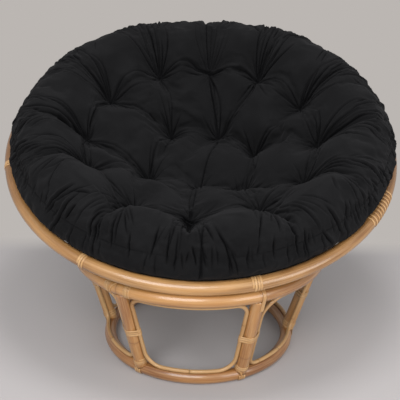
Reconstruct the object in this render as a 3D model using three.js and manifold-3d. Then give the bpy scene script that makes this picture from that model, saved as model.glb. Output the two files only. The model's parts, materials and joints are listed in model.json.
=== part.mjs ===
// Papasan chair: a round rattan bowl that leans on an open ring stand, with a tufted cushion.
// Millimetres and degrees. +Z is up, the chair faces -Y, and an angle of 0 points to the front
// and grows towards +X. The origin is on the floor, in the middle of the chair's outline.
import * as THREE from 'three';
import { mergeVertices } from 'three/addons/utils/BufferGeometryUtils.js';
import Module from 'manifold-3d';

const wasm = await Module();
wasm.setup();

// Bowl. A radius of a ring is that of the middle of its pole.
const rimRadius = 533;
const rimPole = 34;
const bowlDepth = 290; // rim's middle down to the ribs' middle at the bottom
const ribPole = 16;
const ribPairCount = 8;
const firstRibAngle = 14.5;
const ribBindingRoom = 1.5; // between a rib and the binding beside it
const ribBendRoom = 6; // between the bends of neighbouring pairs
const midRingRadius = 322;
const midRingPole = 20;
const bottomRingPole = 20;
const bottomRingOffset = 36; // from the ribs' bends out to the bottom ring
const scarfLength = 96; // slanted joint where the rim's two ends meet
const scarfGap = 0.4;
const spliceIndex = 1; // the rib pair at the rim's joint, counted from the front right

// Stand
const standHeight = 293;
const topRingRadius = 330;
const topRingPole = 34;
const baseRingRadius = 254;
const baseRingPole = 34;
const legPole = 34;
const legCount = 6;
const firstLegAngle = 25.5;
const saddleDepth = 7; // how far a leg's hollowed end reaches round its ring
const canePole = 10;
const wideBend = 50;
const bendMargin = 8; // added to a binding's length for a tight bend
const caneButtGap = 0.6;
const legMiddleShare = 0.5;
const rightWindow = 0; // windows are counted from the front right leg
const leftWindow = 4;

// Bindings of flat rattan peel
const strandWidth = 5.6;
const strandThickness = 1.2;
const strandSpace = 0.9; // between the turns
const strapWidth = 10;
const strapReach = 42; // from the ring's middle down the leg
const strapOffset = 5; // beside the leg's middle
const rimTurns = 3;
const frontRimTurns = 4;
const spliceTurns = 10;
const spliceLength = 128;
const legTopTurns = 2; // on each side of the leg
const legMiddleTurns = 3;
const legFootTurns = 3;
const footTailStart = 30; // where a foot binding's tail meets the base ring, above its outer side
const footTailAngle = 30; // how far the tail runs on below it
const slantStart = -30; // where a strand that crosses a leg's top comes up, from the ring's outer side
const slantSteps = 6; // facets of the ring that it crosses
const strandOnLeg = 72; // where a middle binding leaves the leg for a cane, from its side
const strandOnCane = 55; // and where it bends round the cane

// Cushion. Heights are above the plane of the rim's middle.
const cushionInset = 10; // from the rim's middle in to the cushion's widest line
const cushionWaistHeight = 55;
const seamInset = 13; // from the widest line in to the seam
const seamHeight = 80;
const seamNotch = 5;
const edgeRollRadius = 80;
const edgeRollHeight = 125;
const edgeRollInset = 75; // from the seam in to the middle of the edge roll
const outerTuftRadius = 328;
const outerTuftHeight = 4;
const outerTuftCount = 12;
const innerTuftRadius = 158;
const innerTuftHeight = -108;
const innerTuftCount = 6;
const innerTuftTurn = 45;
const outerPuff = 46; // cloth between the outer tufts stands this much above them
const innerPuff = 44;
const tuftSpread = 44;
const cushionMiddleHeight = -92;

// Clearances
const seatGap = 0.3;
const bindingGap = 0.5; // between a pole and the peel wound on it
const crossingGap = 0.4; // rings laid on the ribs
const caneGap = 0.5;
const cushionGap = 0.4;
const tiltGap = 0.4; // ribs above the raised turns on the top ring

// Facets
const poleSides = 10;
const ribSides = 6;
const rimSegments = 56;
const standRingSegments = 48;
const bowlRingSegments = 36;
const bendSteps = 3;
const ribBendSteps = 6;
const rimToMidSteps = 4;
const midToBottomSteps = 3;
const caneHalfRunSteps = 3;
const caneSideSteps = 1;
const insideTuftSteps = 2;
const betweenTuftSteps = 4;
const upToRollSteps = 3;
const overRollSteps = 2;

const rad = THREE.MathUtils.degToRad;
const deg = THREE.MathUtils.radToDeg;
const half = (size) => size / 2;
const upright = Math.PI / 2;
const fullTurn = Math.PI * 2;

// How far a strand with so many steps to a turn runs from a pole's middle, clear of the whole pole
function clearRadius(diameter, steps) {
  return (half(diameter) + bindingGap) / Math.cos(Math.PI / steps) + half(strandThickness);
}

// Lengths of the bindings
const strandPitch = strandWidth + strandSpace;
const bindingThickness = bindingGap + strandThickness;
const strandOff = bindingGap + half(strandThickness); // from a pole's surface to the strand's middle
const raisedThickness = clearRadius(topRingPole, poleSides) + half(strandThickness) - half(topRingPole);
const footBindingLength = legFootTurns * strandPitch;
const tightBend = footBindingLength + bendMargin;

// The ribs' middles lie on one sphere, which passes through the middle of the rim's pole.
const sphereRadius = (rimRadius ** 2 + bowlDepth ** 2) / (2 * bowlDepth);
const rimDrop = sphereRadius - bowlDepth; // sphere's middle down to the rim's plane
const ribSpread = frontRimTurns * strandPitch + ribPole + 2 * ribBindingRoom;
const ribBendRadius = half(ribSpread);
const ribBendPlace = (half(ribSpread + ribPole) + half(ribBendRoom)) / Math.tan(Math.PI / ribPairCount);
const bottomRingRadius = ribBendPlace + bottomRingOffset;

// Rings of the cushion, which follow the rim
const cushionReach = rimRadius - cushionInset;
const seamRadius = cushionReach - seamInset;
const edgeRollMiddle = seamRadius - edgeRollInset;

// The bowl leans forward until its rim meets the top ring of the stand.
const topRingMiddle = standHeight - half(topRingPole);
const topRingFromCentre = sphereRadius + half(ribPole) + tiltGap + raisedThickness + half(topRingPole);
const centreHeight = topRingMiddle + Math.sqrt(topRingFromCentre ** 2 - topRingRadius ** 2);
const rimPolar = Math.asin(rimRadius / sphereRadius);
const topRingPolar = Math.asin(topRingRadius / topRingFromCentre);
const contactDistance = half(rimPole) + half(topRingPole) + seatGap;
const radiusStep = topRingFromCentre - sphereRadius;
const contactSine = Math.sqrt((contactDistance ** 2 - radiusStep ** 2) / (4 * sphereRadius * topRingFromCentre));
const lean = rimPolar - topRingPolar - 2 * Math.asin(contactSine);

// Where the rim lies at the front of the leaning bowl, and the direction from there to the ring
const rimFrontOut = sphereRadius * Math.sin(rimPolar - lean);
const rimFrontHeight = centreHeight - sphereRadius * Math.cos(rimPolar - lean);
const contactSlope = Math.atan2(rimFrontHeight - topRingMiddle, rimFrontOut - topRingRadius);

// Stand: the legs' middles and the window canes lie on one cone.
const baseRingMiddle = half(baseRingPole) * Math.cos(Math.PI / poleSides); // it stands on a flat
const legRise = topRingMiddle - baseRingMiddle;
const legRun = topRingRadius - baseRingRadius;
const legLength = Math.hypot(legRise, legRun);
const legSlope = Math.atan2(legRun, legRise);
const legStep = fullTurn / legCount;

const wood = {
  pole: new THREE.MeshStandardMaterial({ color: 0xd9a766, roughness: 0.35, metalness: 0 }),
  rib: new THREE.MeshStandardMaterial({ color: 0xc89556, roughness: 0.45, metalness: 0 }),
  cane: new THREE.MeshStandardMaterial({ color: 0xe2bd86, roughness: 0.4, metalness: 0 }),
  peel: new THREE.MeshStandardMaterial({ color: 0xe6c78f, roughness: 0.4, metalness: 0 }),
};
const cloth = new THREE.MeshStandardMaterial({ color: 0x191a1c, roughness: 0.95, metalness: 0 });

// A point given by its distance from the upright axis, its angle and its height
function around(radius, angle, height) {
  return new THREE.Vector3(radius * Math.sin(angle), -radius * Math.cos(angle), height);
}

function bare(geometry) {
  geometry.deleteAttribute('normal');
  geometry.deleteAttribute('uv');
  return mergeVertices(geometry);
}

function toSolid(geometry) {
  const merged = bare(geometry.clone());
  const vertProperties = new Float32Array(merged.attributes.position.array);
  const triVerts = new Uint32Array(merged.index.array);
  return new wasm.Manifold(new wasm.Mesh({ numProp: 3, vertProperties, triVerts }));
}

function toGeometry(solid) {
  const cut = solid.getMesh();
  const geometry = new THREE.BufferGeometry();
  geometry.setAttribute('position', new THREE.BufferAttribute(new Float32Array(cut.vertProperties), 3));
  geometry.setIndex(new THREE.BufferAttribute(new Uint32Array(cut.triVerts), 1));
  return geometry;
}

function volume(geometry) {
  const places = geometry.attributes.position;
  const corner = (order) => new THREE.Vector3().fromBufferAttribute(places, geometry.index.getX(order));
  let sum = 0;
  for (let i = 0; i < geometry.index.count; i += 3) {
    sum += corner(i).dot(corner(i + 1).cross(corner(i + 2)));
  }
  return sum;
}

// Turns a closed mesh's faces outwards.
function facingOut(geometry) {
  const merged = bare(geometry);
  if (volume(merged) < 0) {
    const order = merged.index.array;
    for (let i = 0; i < order.length; i += 3) {
      [order[i], order[i + 1]] = [order[i + 1], order[i]];
    }
  }
  return merged;
}

function piece(name, geometry, material) {
  const mesh = new THREE.Mesh(facingOut(geometry), material);
  mesh.name = name;
  return mesh;
}

// Section of a pole: a polygon with a corner at the angle turn
function section(diameter, turn, sides = poleSides) {
  const corners = [];
  for (let i = 0; i < sides; i += 1) {
    const angle = turn + (fullTurn * i) / sides;
    corners.push(new THREE.Vector2(half(diameter) * Math.cos(angle), half(diameter) * Math.sin(angle)));
  }
  return corners;
}

// A pole bent to a ring round the upright axis, with a corner of the ring at the angle start
function ringPole({ radius, height, diameter, turn, segments, start }) {
  const corners = section(diameter, turn);
  const profile = [...corners, corners[0]].map((c) => new THREE.Vector2(radius + c.x, height + c.y));
  const ring = new THREE.LatheGeometry(profile, segments);
  ring.rotateX(upright);
  ring.rotateZ(start);
  return ring;
}

// A faceted ring is nearer its axis between two corners by this factor.
function facetFactor(angle, segments, start) {
  const step = fullTurn / segments;
  const past = THREE.MathUtils.euclideanModulo(angle - start, step);
  return Math.cos(half(step)) / Math.cos(past - half(step));
}

// Passes straight from stop to stop, and a sweep along it has one step for each.
class BentRoute extends THREE.Curve {
  constructor(stops) {
    super();
    this.stops = stops;
  }

  getPoint(share, target = new THREE.Vector3()) {
    const place = share * (this.stops.length - 1);
    const before = Math.min(Math.floor(place), this.stops.length - 2);
    return target.lerpVectors(this.stops[before], this.stops[before + 1], place - before);
  }

  getTangent(share, target = new THREE.Vector3()) {
    return target.copy(heading(this.stops, Math.round(share * (this.stops.length - 1))));
  }

  getUtoTmapping(share) {
    return share;
  }
}

// Mean direction of a route at one of its stops
function heading(stops, index) {
  const before = stops[Math.max(index - 1, 0)];
  const after = stops[Math.min(index + 1, stops.length - 1)];
  const into = stops[index].clone().sub(before).normalize();
  const outOf = after.clone().sub(stops[index]).normalize();
  return into.add(outOf).normalize();
}

function bentPole(stops, diameter, sides) {
  const outline = new THREE.Shape(section(diameter, 0, sides));
  const extrudePath = new BentRoute(stops);
  return new THREE.ExtrudeGeometry(outline, { steps: stops.length - 1, extrudePath, bevelEnabled: false });
}

// Evenly spaced values from one end up to the other, the first one left out
function spaced(from, to, count) {
  return Array.from({ length: count }, (_, i) => from + ((to - from) * (i + 1)) / count);
}

// Flat strand of peel: stops are {place, out}, where out points away from the pole.
// Returns the four corners of the strand's section at each stop.
function strandSections(stops, width = strandWidth) {
  const places = stops.map((stop) => stop.place);
  return stops.map(({ place, out }, index) => {
    const along = heading(places, index);
    const side = new THREE.Vector3().crossVectors(out, along).normalize().multiplyScalar(half(width));
    const rise = new THREE.Vector3().crossVectors(along, side).normalize().multiplyScalar(half(strandThickness));
    return [
      place.clone().add(side).add(rise),
      place.clone().sub(side).add(rise),
      place.clone().sub(side).sub(rise),
      place.clone().add(side).sub(rise),
    ];
  });
}

function strandGeometry(sections) {
  const places = [];
  const faces = [];
  const corners = sections[0].length;
  sections.flat().forEach((corner) => places.push(corner.x, corner.y, corner.z));
  for (let i = 0; i + 1 < sections.length; i += 1) {
    for (let k = 0; k < corners; k += 1) {
      const here = i * corners + k;
      const next = i * corners + ((k + 1) % corners);
      faces.push(here, next, next + corners, here, next + corners, here + corners);
    }
  }
  const last = (sections.length - 1) * corners;
  faces.push(0, 2, 1, 0, 3, 2, last, last + 1, last + 2, last, last + 2, last + 3);
  const geometry = new THREE.BufferGeometry();
  geometry.setAttribute('position', new THREE.Float32BufferAttribute(places, 3));
  geometry.setIndex(faces);
  return geometry;
}

// Least distance between the corners of two turns of one strand
function leastGap(sections) {
  let least = Infinity;
  for (let i = 0; i < sections.length; i += 1) {
    for (let j = i + poleSides - 1; j < sections.length; j += 1) {
      for (const a of sections[i]) {
        for (const b of sections[j]) {
          least = Math.min(least, a.distanceTo(b));
        }
      }
    }
  }
  return least;
}

function binding(name, stops, width = strandWidth) {
  const sections = strandSections(stops, width);
  const least = leastGap(sections);
  if (Number.isFinite(least)) {
    console.log(`${name}: least gap to itself ${least.toFixed(2)} mm`);
  }
  return piece(name, strandGeometry(sections), wood.peel);
}

// A stop of a strand that lies on a ring's pole, at an angle round the pole
function stopOnRing(ring, angle, poleAngle, from = half(ring.diameter) + strandOff) {
  const factor = facetFactor(angle, ring.segments, ring.start);
  const radius = (ring.radius + from * Math.cos(poleAngle)) * factor;
  const place = around(radius, angle, ring.height + from * Math.sin(poleAngle));
  const out = around(Math.cos(poleAngle), angle, Math.sin(poleAngle));
  return { place, out };
}

// Turns of a strand round a ring's pole, centred on the angle middle
function ringTurns(ring, middle, turns, length) {
  const count = turns * poleSides;
  const stops = [];
  for (let i = 0; i <= count; i += 1) {
    const along = length * (i / count) - half(length);
    stops.push(stopOnRing(ring, middle + along / ring.radius, ring.turn + (fullTurn * i) / poleSides));
  }
  return stops;
}

// Bowl. Its upright axis is square to the rim and its origin is the middle of the sphere.

const ribStep = fullTurn / ribPairCount;
const rimRing = {
  radius: rimRadius,
  height: -rimDrop,
  diameter: rimPole,
  turn: contactSlope + lean,
  segments: rimSegments,
  start: rad(firstRibAngle),
};

function ribPairAngle(index) {
  return rad(firstRibAngle) + ribStep * index;
}

function onSphere(polar, across, angle, radius = sphereRadius) {
  const place = new THREE.Vector3(
    Math.sin(across),
    -Math.sin(polar) * Math.cos(across),
    -Math.cos(polar) * Math.cos(across),
  );
  return place.multiplyScalar(radius).applyAxisAngle(new THREE.Vector3(0, 0, 1), angle);
}

// The rim's ends are cut on a long slant, which the splice binding covers.
function rimWithScarf() {
  const slant = Math.atan2(rimPole, scarfLength);
  const cutter = new THREE.BoxGeometry(2 * scarfLength, scarfGap, 2 * rimPole);
  cutter.rotateZ(slant);
  cutter.translate(0, -rimRadius, -rimDrop);
  cutter.rotateZ(ribPairAngle(spliceIndex));
  const rim = toSolid(facingOut(ringPole(rimRing)));
  return toGeometry(rim.subtract(toSolid(cutter)));
}

// A ring laid on the inner side of the ribs, with its corners under those of the cushion
function innerRing(radius, diameter) {
  const fromCentre = sphereRadius - half(ribPole) - crossingGap - half(diameter);
  const polar = Math.asin(radius / fromCentre);
  const height = -fromCentre * Math.cos(polar);
  const turn = polar - upright;
  return ringPole({ radius, height, diameter, turn, segments: bowlRingSegments, start: 0 });
}

// One half of a rib pair, from the rim in to the start of the bend
function ribStops(side, angle) {
  const across = (side * ribBendRadius) / sphereRadius;
  const atRim = Math.acos(rimDrop / sphereRadius / Math.cos(across));
  const atMidRing = Math.asin(midRingRadius / sphereRadius);
  const atBottomRing = Math.asin(bottomRingRadius / sphereRadius);
  const atBend = Math.asin(ribBendPlace / sphereRadius);
  const polars = [
    atRim,
    ...spaced(atRim, atMidRing, rimToMidSteps),
    ...spaced(atMidRing, atBottomRing, midToBottomSteps),
    atBend,
  ];
  return polars.map((polar) => onSphere(polar, across, angle));
}

function ribBendStops(angle) {
  const start = Math.asin(ribBendPlace / sphereRadius);
  return spaced(0, Math.PI, ribBendSteps).slice(0, -1).map((turned) => {
    const polar = start - (ribBendRadius * Math.sin(turned)) / sphereRadius;
    return onSphere(polar, (-ribBendRadius * Math.cos(turned)) / sphereRadius, angle);
  });
}

// Two ribs made of one pole, bent round near the bottom and hollowed at the rim
function ribPair(index, rimRoom) {
  const angle = ribPairAngle(index);
  const stops = [...ribStops(-1, angle), ...ribBendStops(angle), ...ribStops(1, angle).reverse()];
  const pair = toSolid(facingOut(bentPole(stops, ribPole, ribSides)));
  return toGeometry(pair.subtract(rimRoom));
}

function rimBinding(index) {
  const isSplice = index === spliceIndex;
  const turns = index === 0 ? frontRimTurns : rimTurns;
  const length = isSplice ? spliceLength : turns * strandPitch;
  const stops = ringTurns(rimRing, ribPairAngle(index), isSplice ? spliceTurns : turns, length);
  return binding(isSplice ? 'rim_splice_binding' : `rim_binding_${index + 1}`, stops);
}

// The rim with room round it. The ribs at the splice end on its binding, the others on the rim.
function rimWithRoom(room) {
  return toSolid(facingOut(ringPole({ ...rimRing, diameter: rimPole + 2 * room })));
}

function makeBowl() {
  const bowl = new THREE.Group();
  const bareRim = rimWithRoom(seatGap);
  const boundRim = rimWithRoom(bindingThickness + seatGap);
  bowl.add(piece('rim', rimWithScarf(), wood.pole));
  bowl.add(piece('mid_ring', innerRing(midRingRadius, midRingPole), wood.rib));
  bowl.add(piece('bottom_ring', innerRing(bottomRingRadius, bottomRingPole), wood.rib));
  for (let i = 0; i < ribPairCount; i += 1) {
    bowl.add(piece(`rib_pair_${i + 1}`, ribPair(i, i === spliceIndex ? boundRim : bareRim), wood.rib));
    bowl.add(rimBinding(i));
  }
  return bowl;
}

// Cushion, in the bowl's own directions

const cushionFloor = sphereRadius - half(ribPole) - crossingGap - Math.max(midRingPole, bottomRingPole) - cushionGap;

// Height of the cushion's underside, which lies on the bowl's inner rings
function undersideHeight(radius) {
  return rimDrop - Math.sqrt(cushionFloor ** 2 - radius ** 2);
}

// Height of the cushion's top before the tufts draw it in
function crownHeight(radius) {
  const outerCrown = outerTuftHeight + outerPuff;
  const innerCrown = innerTuftHeight + innerPuff;
  if (radius <= innerTuftRadius) {
    return THREE.MathUtils.mapLinear(radius, 0, innerTuftRadius, cushionMiddleHeight, innerCrown);
  }
  if (radius <= outerTuftRadius) {
    return THREE.MathUtils.mapLinear(radius, innerTuftRadius, outerTuftRadius, innerCrown, outerCrown);
  }
  const rollFoot = edgeRollMiddle - edgeRollRadius;
  const past = THREE.MathUtils.clamp((radius - outerTuftRadius) / (edgeRollMiddle - outerTuftRadius), 0, 1);
  const rollHeight = edgeRollHeight - edgeRollRadius;
  const roll = Math.sqrt(Math.max(edgeRollRadius ** 2 - (radius - edgeRollMiddle) ** 2, 0));
  return radius < rollFoot ? outerCrown + past * (rollHeight + roll - outerCrown) : rollHeight + roll;
}

// How far the nearest tufts draw the cloth down at a place
function tuftDip(radius, angle) {
  const dip = (tuftRadius, count, turn, depth) => {
    const step = fullTurn / count;
    const past = THREE.MathUtils.euclideanModulo(angle - turn + half(step), step) - half(step);
    const distance = Math.hypot(radius * Math.cos(past) - tuftRadius, radius * Math.sin(past));
    return depth * Math.exp(-((distance / tuftSpread) ** 2));
  };
  const outer = dip(outerTuftRadius, outerTuftCount, 0, outerPuff);
  const inner = dip(innerTuftRadius, innerTuftCount, rad(innerTuftTurn), innerPuff);
  return outer + inner;
}

// Rings of the cushion's surface from its middle top, over the edge, to its middle below
function cushionRings() {
  const insideTufts = spaced(0, innerTuftRadius, insideTuftSteps);
  const betweenTufts = spaced(innerTuftRadius, outerTuftRadius, betweenTuftSteps);
  const upToRoll = spaced(outerTuftRadius, edgeRollMiddle, upToRollSteps);
  const overRoll = spaced(edgeRollMiddle, seamRadius - seamNotch, overRollSteps);
  const top = [...insideTufts, ...betweenTufts, ...upToRoll, ...overRoll];
  const waistFoot = seamRadius;
  const edge = [
    { radius: seamRadius - seamNotch, height: seamHeight },
    { radius: seamRadius, height: seamHeight - seamNotch },
    { radius: cushionReach, height: cushionWaistHeight },
    { radius: waistFoot, height: undersideHeight(waistFoot) },
  ];
  const below = [half(waistFoot + midRingRadius), midRingRadius, half(midRingRadius + bottomRingRadius)];
  const isTop = true;
  return [
    ...top.slice(0, -1).map((radius) => ({ radius, height: crownHeight(radius), isTop })),
    ...edge,
    ...[...below, bottomRingRadius].map((radius) => ({ radius, height: undersideHeight(radius) })),
  ];
}

function cushionGeometry() {
  const rings = cushionRings();
  const floor = undersideHeight(bottomRingRadius);
  const places = [0, 0, crownHeight(0) - rimDrop, 0, 0, floor - rimDrop];
  const step = fullTurn / bowlRingSegments;
  rings.forEach(({ radius, height, isTop }) => {
    const turn = isTop && radius <= innerTuftRadius ? half(step) : 0; // meets the inner tufts
    for (let i = 0; i < bowlRingSegments; i += 1) {
      const angle = turn + step * i;
      const drawn = isTop ? height - tuftDip(radius, angle) : height;
      const place = around(radius, angle, drawn - rimDrop);
      places.push(place.x, place.y, place.z);
    }
  });
  const faces = [];
  const corner = (ring, index) => 2 + ring * bowlRingSegments + (index % bowlRingSegments);
  for (let i = 0; i < bowlRingSegments; i += 1) {
    faces.push(0, corner(0, i), corner(0, i + 1));
    faces.push(1, corner(rings.length - 1, i + 1), corner(rings.length - 1, i));
    for (let ring = 0; ring + 1 < rings.length; ring += 1) {
      faces.push(corner(ring, i), corner(ring + 1, i), corner(ring + 1, i + 1));
      faces.push(corner(ring, i), corner(ring + 1, i + 1), corner(ring, i + 1));
    }
  }
  const geometry = new THREE.BufferGeometry();
  geometry.setAttribute('position', new THREE.Float32BufferAttribute(places, 3));
  geometry.setIndex(faces);
  return geometry;
}

// Stand

const topRing = {
  radius: topRingRadius,
  height: topRingMiddle,
  diameter: topRingPole,
  turn: contactSlope,
  segments: standRingSegments,
  start: rad(firstLegAngle),
};
const baseRing = {
  radius: baseRingRadius,
  height: baseRingMiddle,
  diameter: baseRingPole,
  turn: upright + Math.PI / poleSides,
  segments: standRingSegments,
  start: rad(firstLegAngle),
};

function legAngle(index) {
  return rad(firstLegAngle) + legStep * index;
}

// A point of the cone that holds the legs, a distance up the slope from the base ring's middle
function onCone(up, angle) {
  const share = up / legLength;
  return around(baseRingRadius + legRun * share, angle, baseRingMiddle + legRise * share);
}

function coneRadius(up) {
  return baseRingRadius + (legRun * up) / legLength;
}

// Fixed directions at a leg: away from the chair's axis, along the ring and up the leg
function legDirections(index) {
  const angle = legAngle(index);
  const out = around(Math.cos(legSlope), angle, -Math.sin(legSlope));
  const side = around(1, angle + upright, 0);
  const up = around(Math.sin(legSlope), angle, Math.cos(legSlope));
  return { out, side, up, foot: onCone(0, angle) };
}

function atLeg(directions, outward, sideways, upward) {
  const place = directions.foot.clone();
  place.addScaledVector(directions.out, outward);
  place.addScaledVector(directions.side, sideways);
  return place.addScaledVector(directions.up, upward);
}

function leg(index, fatRings) {
  const from = half(baseRingPole) - saddleDepth;
  const to = legLength - half(topRingPole) + saddleDepth;
  const directions = legDirections(index);
  const pole = new THREE.CylinderGeometry(half(legPole), half(legPole), to - from, poleSides);
  pole.applyMatrix4(new THREE.Matrix4().makeBasis(directions.side, directions.up, directions.out));
  pole.translate(...atLeg(directions, 0, 0, half(from + to)));
  return toGeometry(toSolid(pole).subtract(fatRings[0]).subtract(fatRings[1]));
}

// Rounds a corner of an outline on the unrolled cone.
function roundedCorner(before, corner, after, bend) {
  const into = before.clone().sub(corner).normalize();
  const outOf = after.clone().sub(corner).normalize();
  const halfAngle = half(Math.acos(into.dot(outOf)));
  const bisector = into.clone().add(outOf).normalize();
  const middle = corner.clone().addScaledVector(bisector, bend / Math.sin(halfAngle));
  const start = corner.clone().addScaledVector(into, bend / Math.tan(halfAngle)).sub(middle);
  const end = corner.clone().addScaledVector(outOf, bend / Math.tan(halfAngle)).sub(middle);
  let sweep = end.angle() - start.angle();
  sweep -= fullTurn * Math.round(sweep / fullTurn);
  return [0, ...spaced(0, sweep, bendSteps)].map((turned) => {
    return start.clone().rotateAround(new THREE.Vector2(), turned).add(middle);
  });
}

function straightRun(from, to, steps) {
  return spaced(0, 1, steps).slice(0, -1).map((share) => from.clone().lerp(to, share));
}

// A thin cane bent to line a window between two legs. Its ends meet under the window's middle.
function windowCane(index, bends) {
  const fromRing = (pole) => half(pole) + caneGap + half(canePole);
  const low = fromRing(baseRingPole);
  const high = legLength - fromRing(topRingPole);
  const sideAt = (up) => coneRadius(up) * (half(legStep) - Math.asin(fromRing(legPole) / coneRadius(up)));
  const corners = [
    new THREE.Vector2(sideAt(low), low),
    new THREE.Vector2(sideAt(high), high),
    new THREE.Vector2(-sideAt(high), high),
    new THREE.Vector2(-sideAt(low), low),
  ];
  const rounded = corners.map((corner, i) => {
    return roundedCorner(corners.at(i - 1), corner, corners[(i + 1) % corners.length], bends[i]);
  });
  const first = new THREE.Vector2(half(caneButtGap), low);
  const last = new THREE.Vector2(-half(caneButtGap), low);
  const outline = [
    first,
    ...straightRun(first, rounded[0][0], caneHalfRunSteps),
    ...rounded[0],
    ...straightRun(rounded[0].at(-1), rounded[1][0], caneSideSteps),
    ...rounded[1],
    ...straightRun(rounded[1].at(-1), rounded[2][0], 2 * caneHalfRunSteps),
    ...rounded[2],
    ...straightRun(rounded[2].at(-1), rounded[3][0], caneSideSteps),
    ...rounded[3],
    ...straightRun(rounded[3].at(-1), last, caneHalfRunSteps),
    last,
  ];
  const middle = legAngle(index) + half(legStep);
  return bentPole(outline.map((at) => onCone(at.y, middle + at.x / coneRadius(at.y))), canePole, ribSides);
}

// Binds a leg to the top ring: turns beside the leg, a slant over the ring, and turns beyond it
function legTopTurnsStops(index) {
  const reach = half(legPole) + seatGap + half(strandWidth) + strandSpace;
  const lead = legTopTurns * poleSides;
  const step = fullTurn / poleSides;
  const raised = clearRadius(topRingPole, poleSides);
  // The slant starts where the strand comes up on the ring's outer side.
  const startAngle = topRing.turn + step * Math.ceil((rad(slantStart) - topRing.turn) / step);
  const stops = [];
  for (let i = -lead; i <= slantSteps + lead; i += 1) {
    const slant = THREE.MathUtils.clamp(i / slantSteps, 0, 1);
    const turned = i - THREE.MathUtils.clamp(i, 0, slantSteps);
    const along = reach * (2 * slant - 1) + (strandPitch * turned) / poleSides;
    const from = i < 0 || i > slantSteps ? half(topRingPole) + strandOff : raised;
    stops.push(stopOnRing(topRing, legAngle(index) + along / topRingRadius, startAngle + step * i, from));
  }
  return stops;
}

// A strap laid over the top ring and down both faces of the leg
function legTopStrapStops(index) {
  const directions = legDirections(index);
  const onLeg = half(legPole) + strandOff;
  const onTopRing = clearRadius(topRingPole, poleSides);
  const face = (sign, down, from) => ({
    place: atLeg(directions, sign * from, strapOffset, legLength - down),
    out: directions.out.clone().multiplyScalar(sign),
  });
  const strapAngle = legAngle(index) + strapOffset / topRingRadius;
  const overRing = [0, ...spaced(0, Math.PI, poleSides / 2)].map((turned) => {
    return stopOnRing(topRing, strapAngle, turned - legSlope, onTopRing);
  });
  const bendEnd = half(strapReach);
  return [
    face(1, strapReach, onLeg),
    face(1, bendEnd, half(onLeg + onTopRing)),
    ...overRing,
    face(-1, bendEnd, half(onLeg + onTopRing)),
    face(-1, strapReach, onLeg),
  ];
}

// Turns that hold a leg and the two canes beside it together
function legMiddleStops(index) {
  const directions = legDirections(index);
  const caneAside = half(legPole) + caneGap + half(canePole);
  const middleUp = legLength * legMiddleShare;
  const setBack = coneRadius(middleUp) - Math.sqrt(coneRadius(middleUp) ** 2 - caneAside ** 2);
  const aroundCane = (half(canePole) + strandOff) / Math.cos(half(rad(strandOnCane)));
  const aroundLeg = clearRadius(legPole, poleSides);
  const onCane = (sign, angle) => ({
    outward: aroundCane * Math.sin(rad(angle)) - setBack,
    sideways: sign * (caneAside + aroundCane * Math.cos(rad(angle))),
  });
  const onLeg = (sign, angle) => ({
    outward: aroundLeg * Math.sin(rad(angle)),
    sideways: sign * aroundLeg * Math.cos(rad(angle)),
  });
  const loop = [
    onLeg(-1, strandOnLeg),
    onLeg(1, strandOnLeg),
    onCane(1, strandOnCane),
    onCane(1, 0),
    onCane(1, -strandOnCane),
    onLeg(1, -strandOnLeg),
    onLeg(-1, -strandOnLeg),
    onCane(-1, -strandOnCane),
    onCane(-1, 0),
    onCane(-1, strandOnCane),
  ];
  const count = legMiddleTurns * loop.length;
  const length = legMiddleTurns * strandPitch;
  const stops = [];
  for (let i = 0; i <= count; i += 1) {
    const at = loop[i % loop.length];
    const up = middleUp + half(length) - (length * i) / count;
    const out = directions.out.clone().multiplyScalar(at.outward);
    out.addScaledVector(directions.side, at.sideways).normalize();
    stops.push({ place: atLeg(directions, at.outward, at.sideways, up), out });
  }
  return stops;
}

// Turns round a leg's foot, with the strand's tail drawn down over the base ring's outer side
function legFootStops(index) {
  const directions = legDirections(index);
  const fromLeg = half(legPole) + strandOff;
  const lowest = half(baseRingPole) + seatGap + half(strandWidth) + strandSpace;
  const step = fullTurn / poleSides;
  const count = legFootTurns * poleSides - 1;
  const stops = [];
  for (let i = 0; i <= count; i += 1) {
    const angle = step * (i - count - 1);
    const out = directions.out.clone().multiplyScalar(Math.cos(angle));
    out.addScaledVector(directions.side, Math.sin(angle));
    const up = lowest + (strandPitch * (count - i)) / poleSides;
    const from = i < count ? fromLeg : clearRadius(legPole, poleSides);
    stops.push({ place: atLeg(directions, 0, 0, up).addScaledVector(out, from), out });
  }
  const tailSide = -half(strandWidth);
  const fromRing = clearRadius(baseRingPole, poleSides);
  const tail = [rad(footTailStart), 0, -half(rad(footTailAngle)), -rad(footTailAngle)];
  tail.forEach((turned) => {
    const out = directions.out.clone().multiplyScalar(Math.cos(turned));
    out.addScaledVector(directions.up, Math.sin(turned));
    const place = atLeg(directions, 0, tailSide, 0);
    place.addScaledVector(directions.out, fromRing * (turned > 0 ? 1 : Math.cos(turned)));
    place.addScaledVector(directions.up, fromRing * Math.sin(turned));
    stops.push({ place, out: turned > 0 ? directions.out.clone() : out });
  });
  return stops;
}

// Bends of a window's cane: right foot, right top, left top and left foot, seen from outside
function windowBends(index) {
  const foot = index === rightWindow || index === leftWindow ? tightBend : wideBend;
  const leftTop = index === rightWindow ? wideBend : tightBend;
  return [foot, tightBend, leftTop, foot];
}

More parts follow.
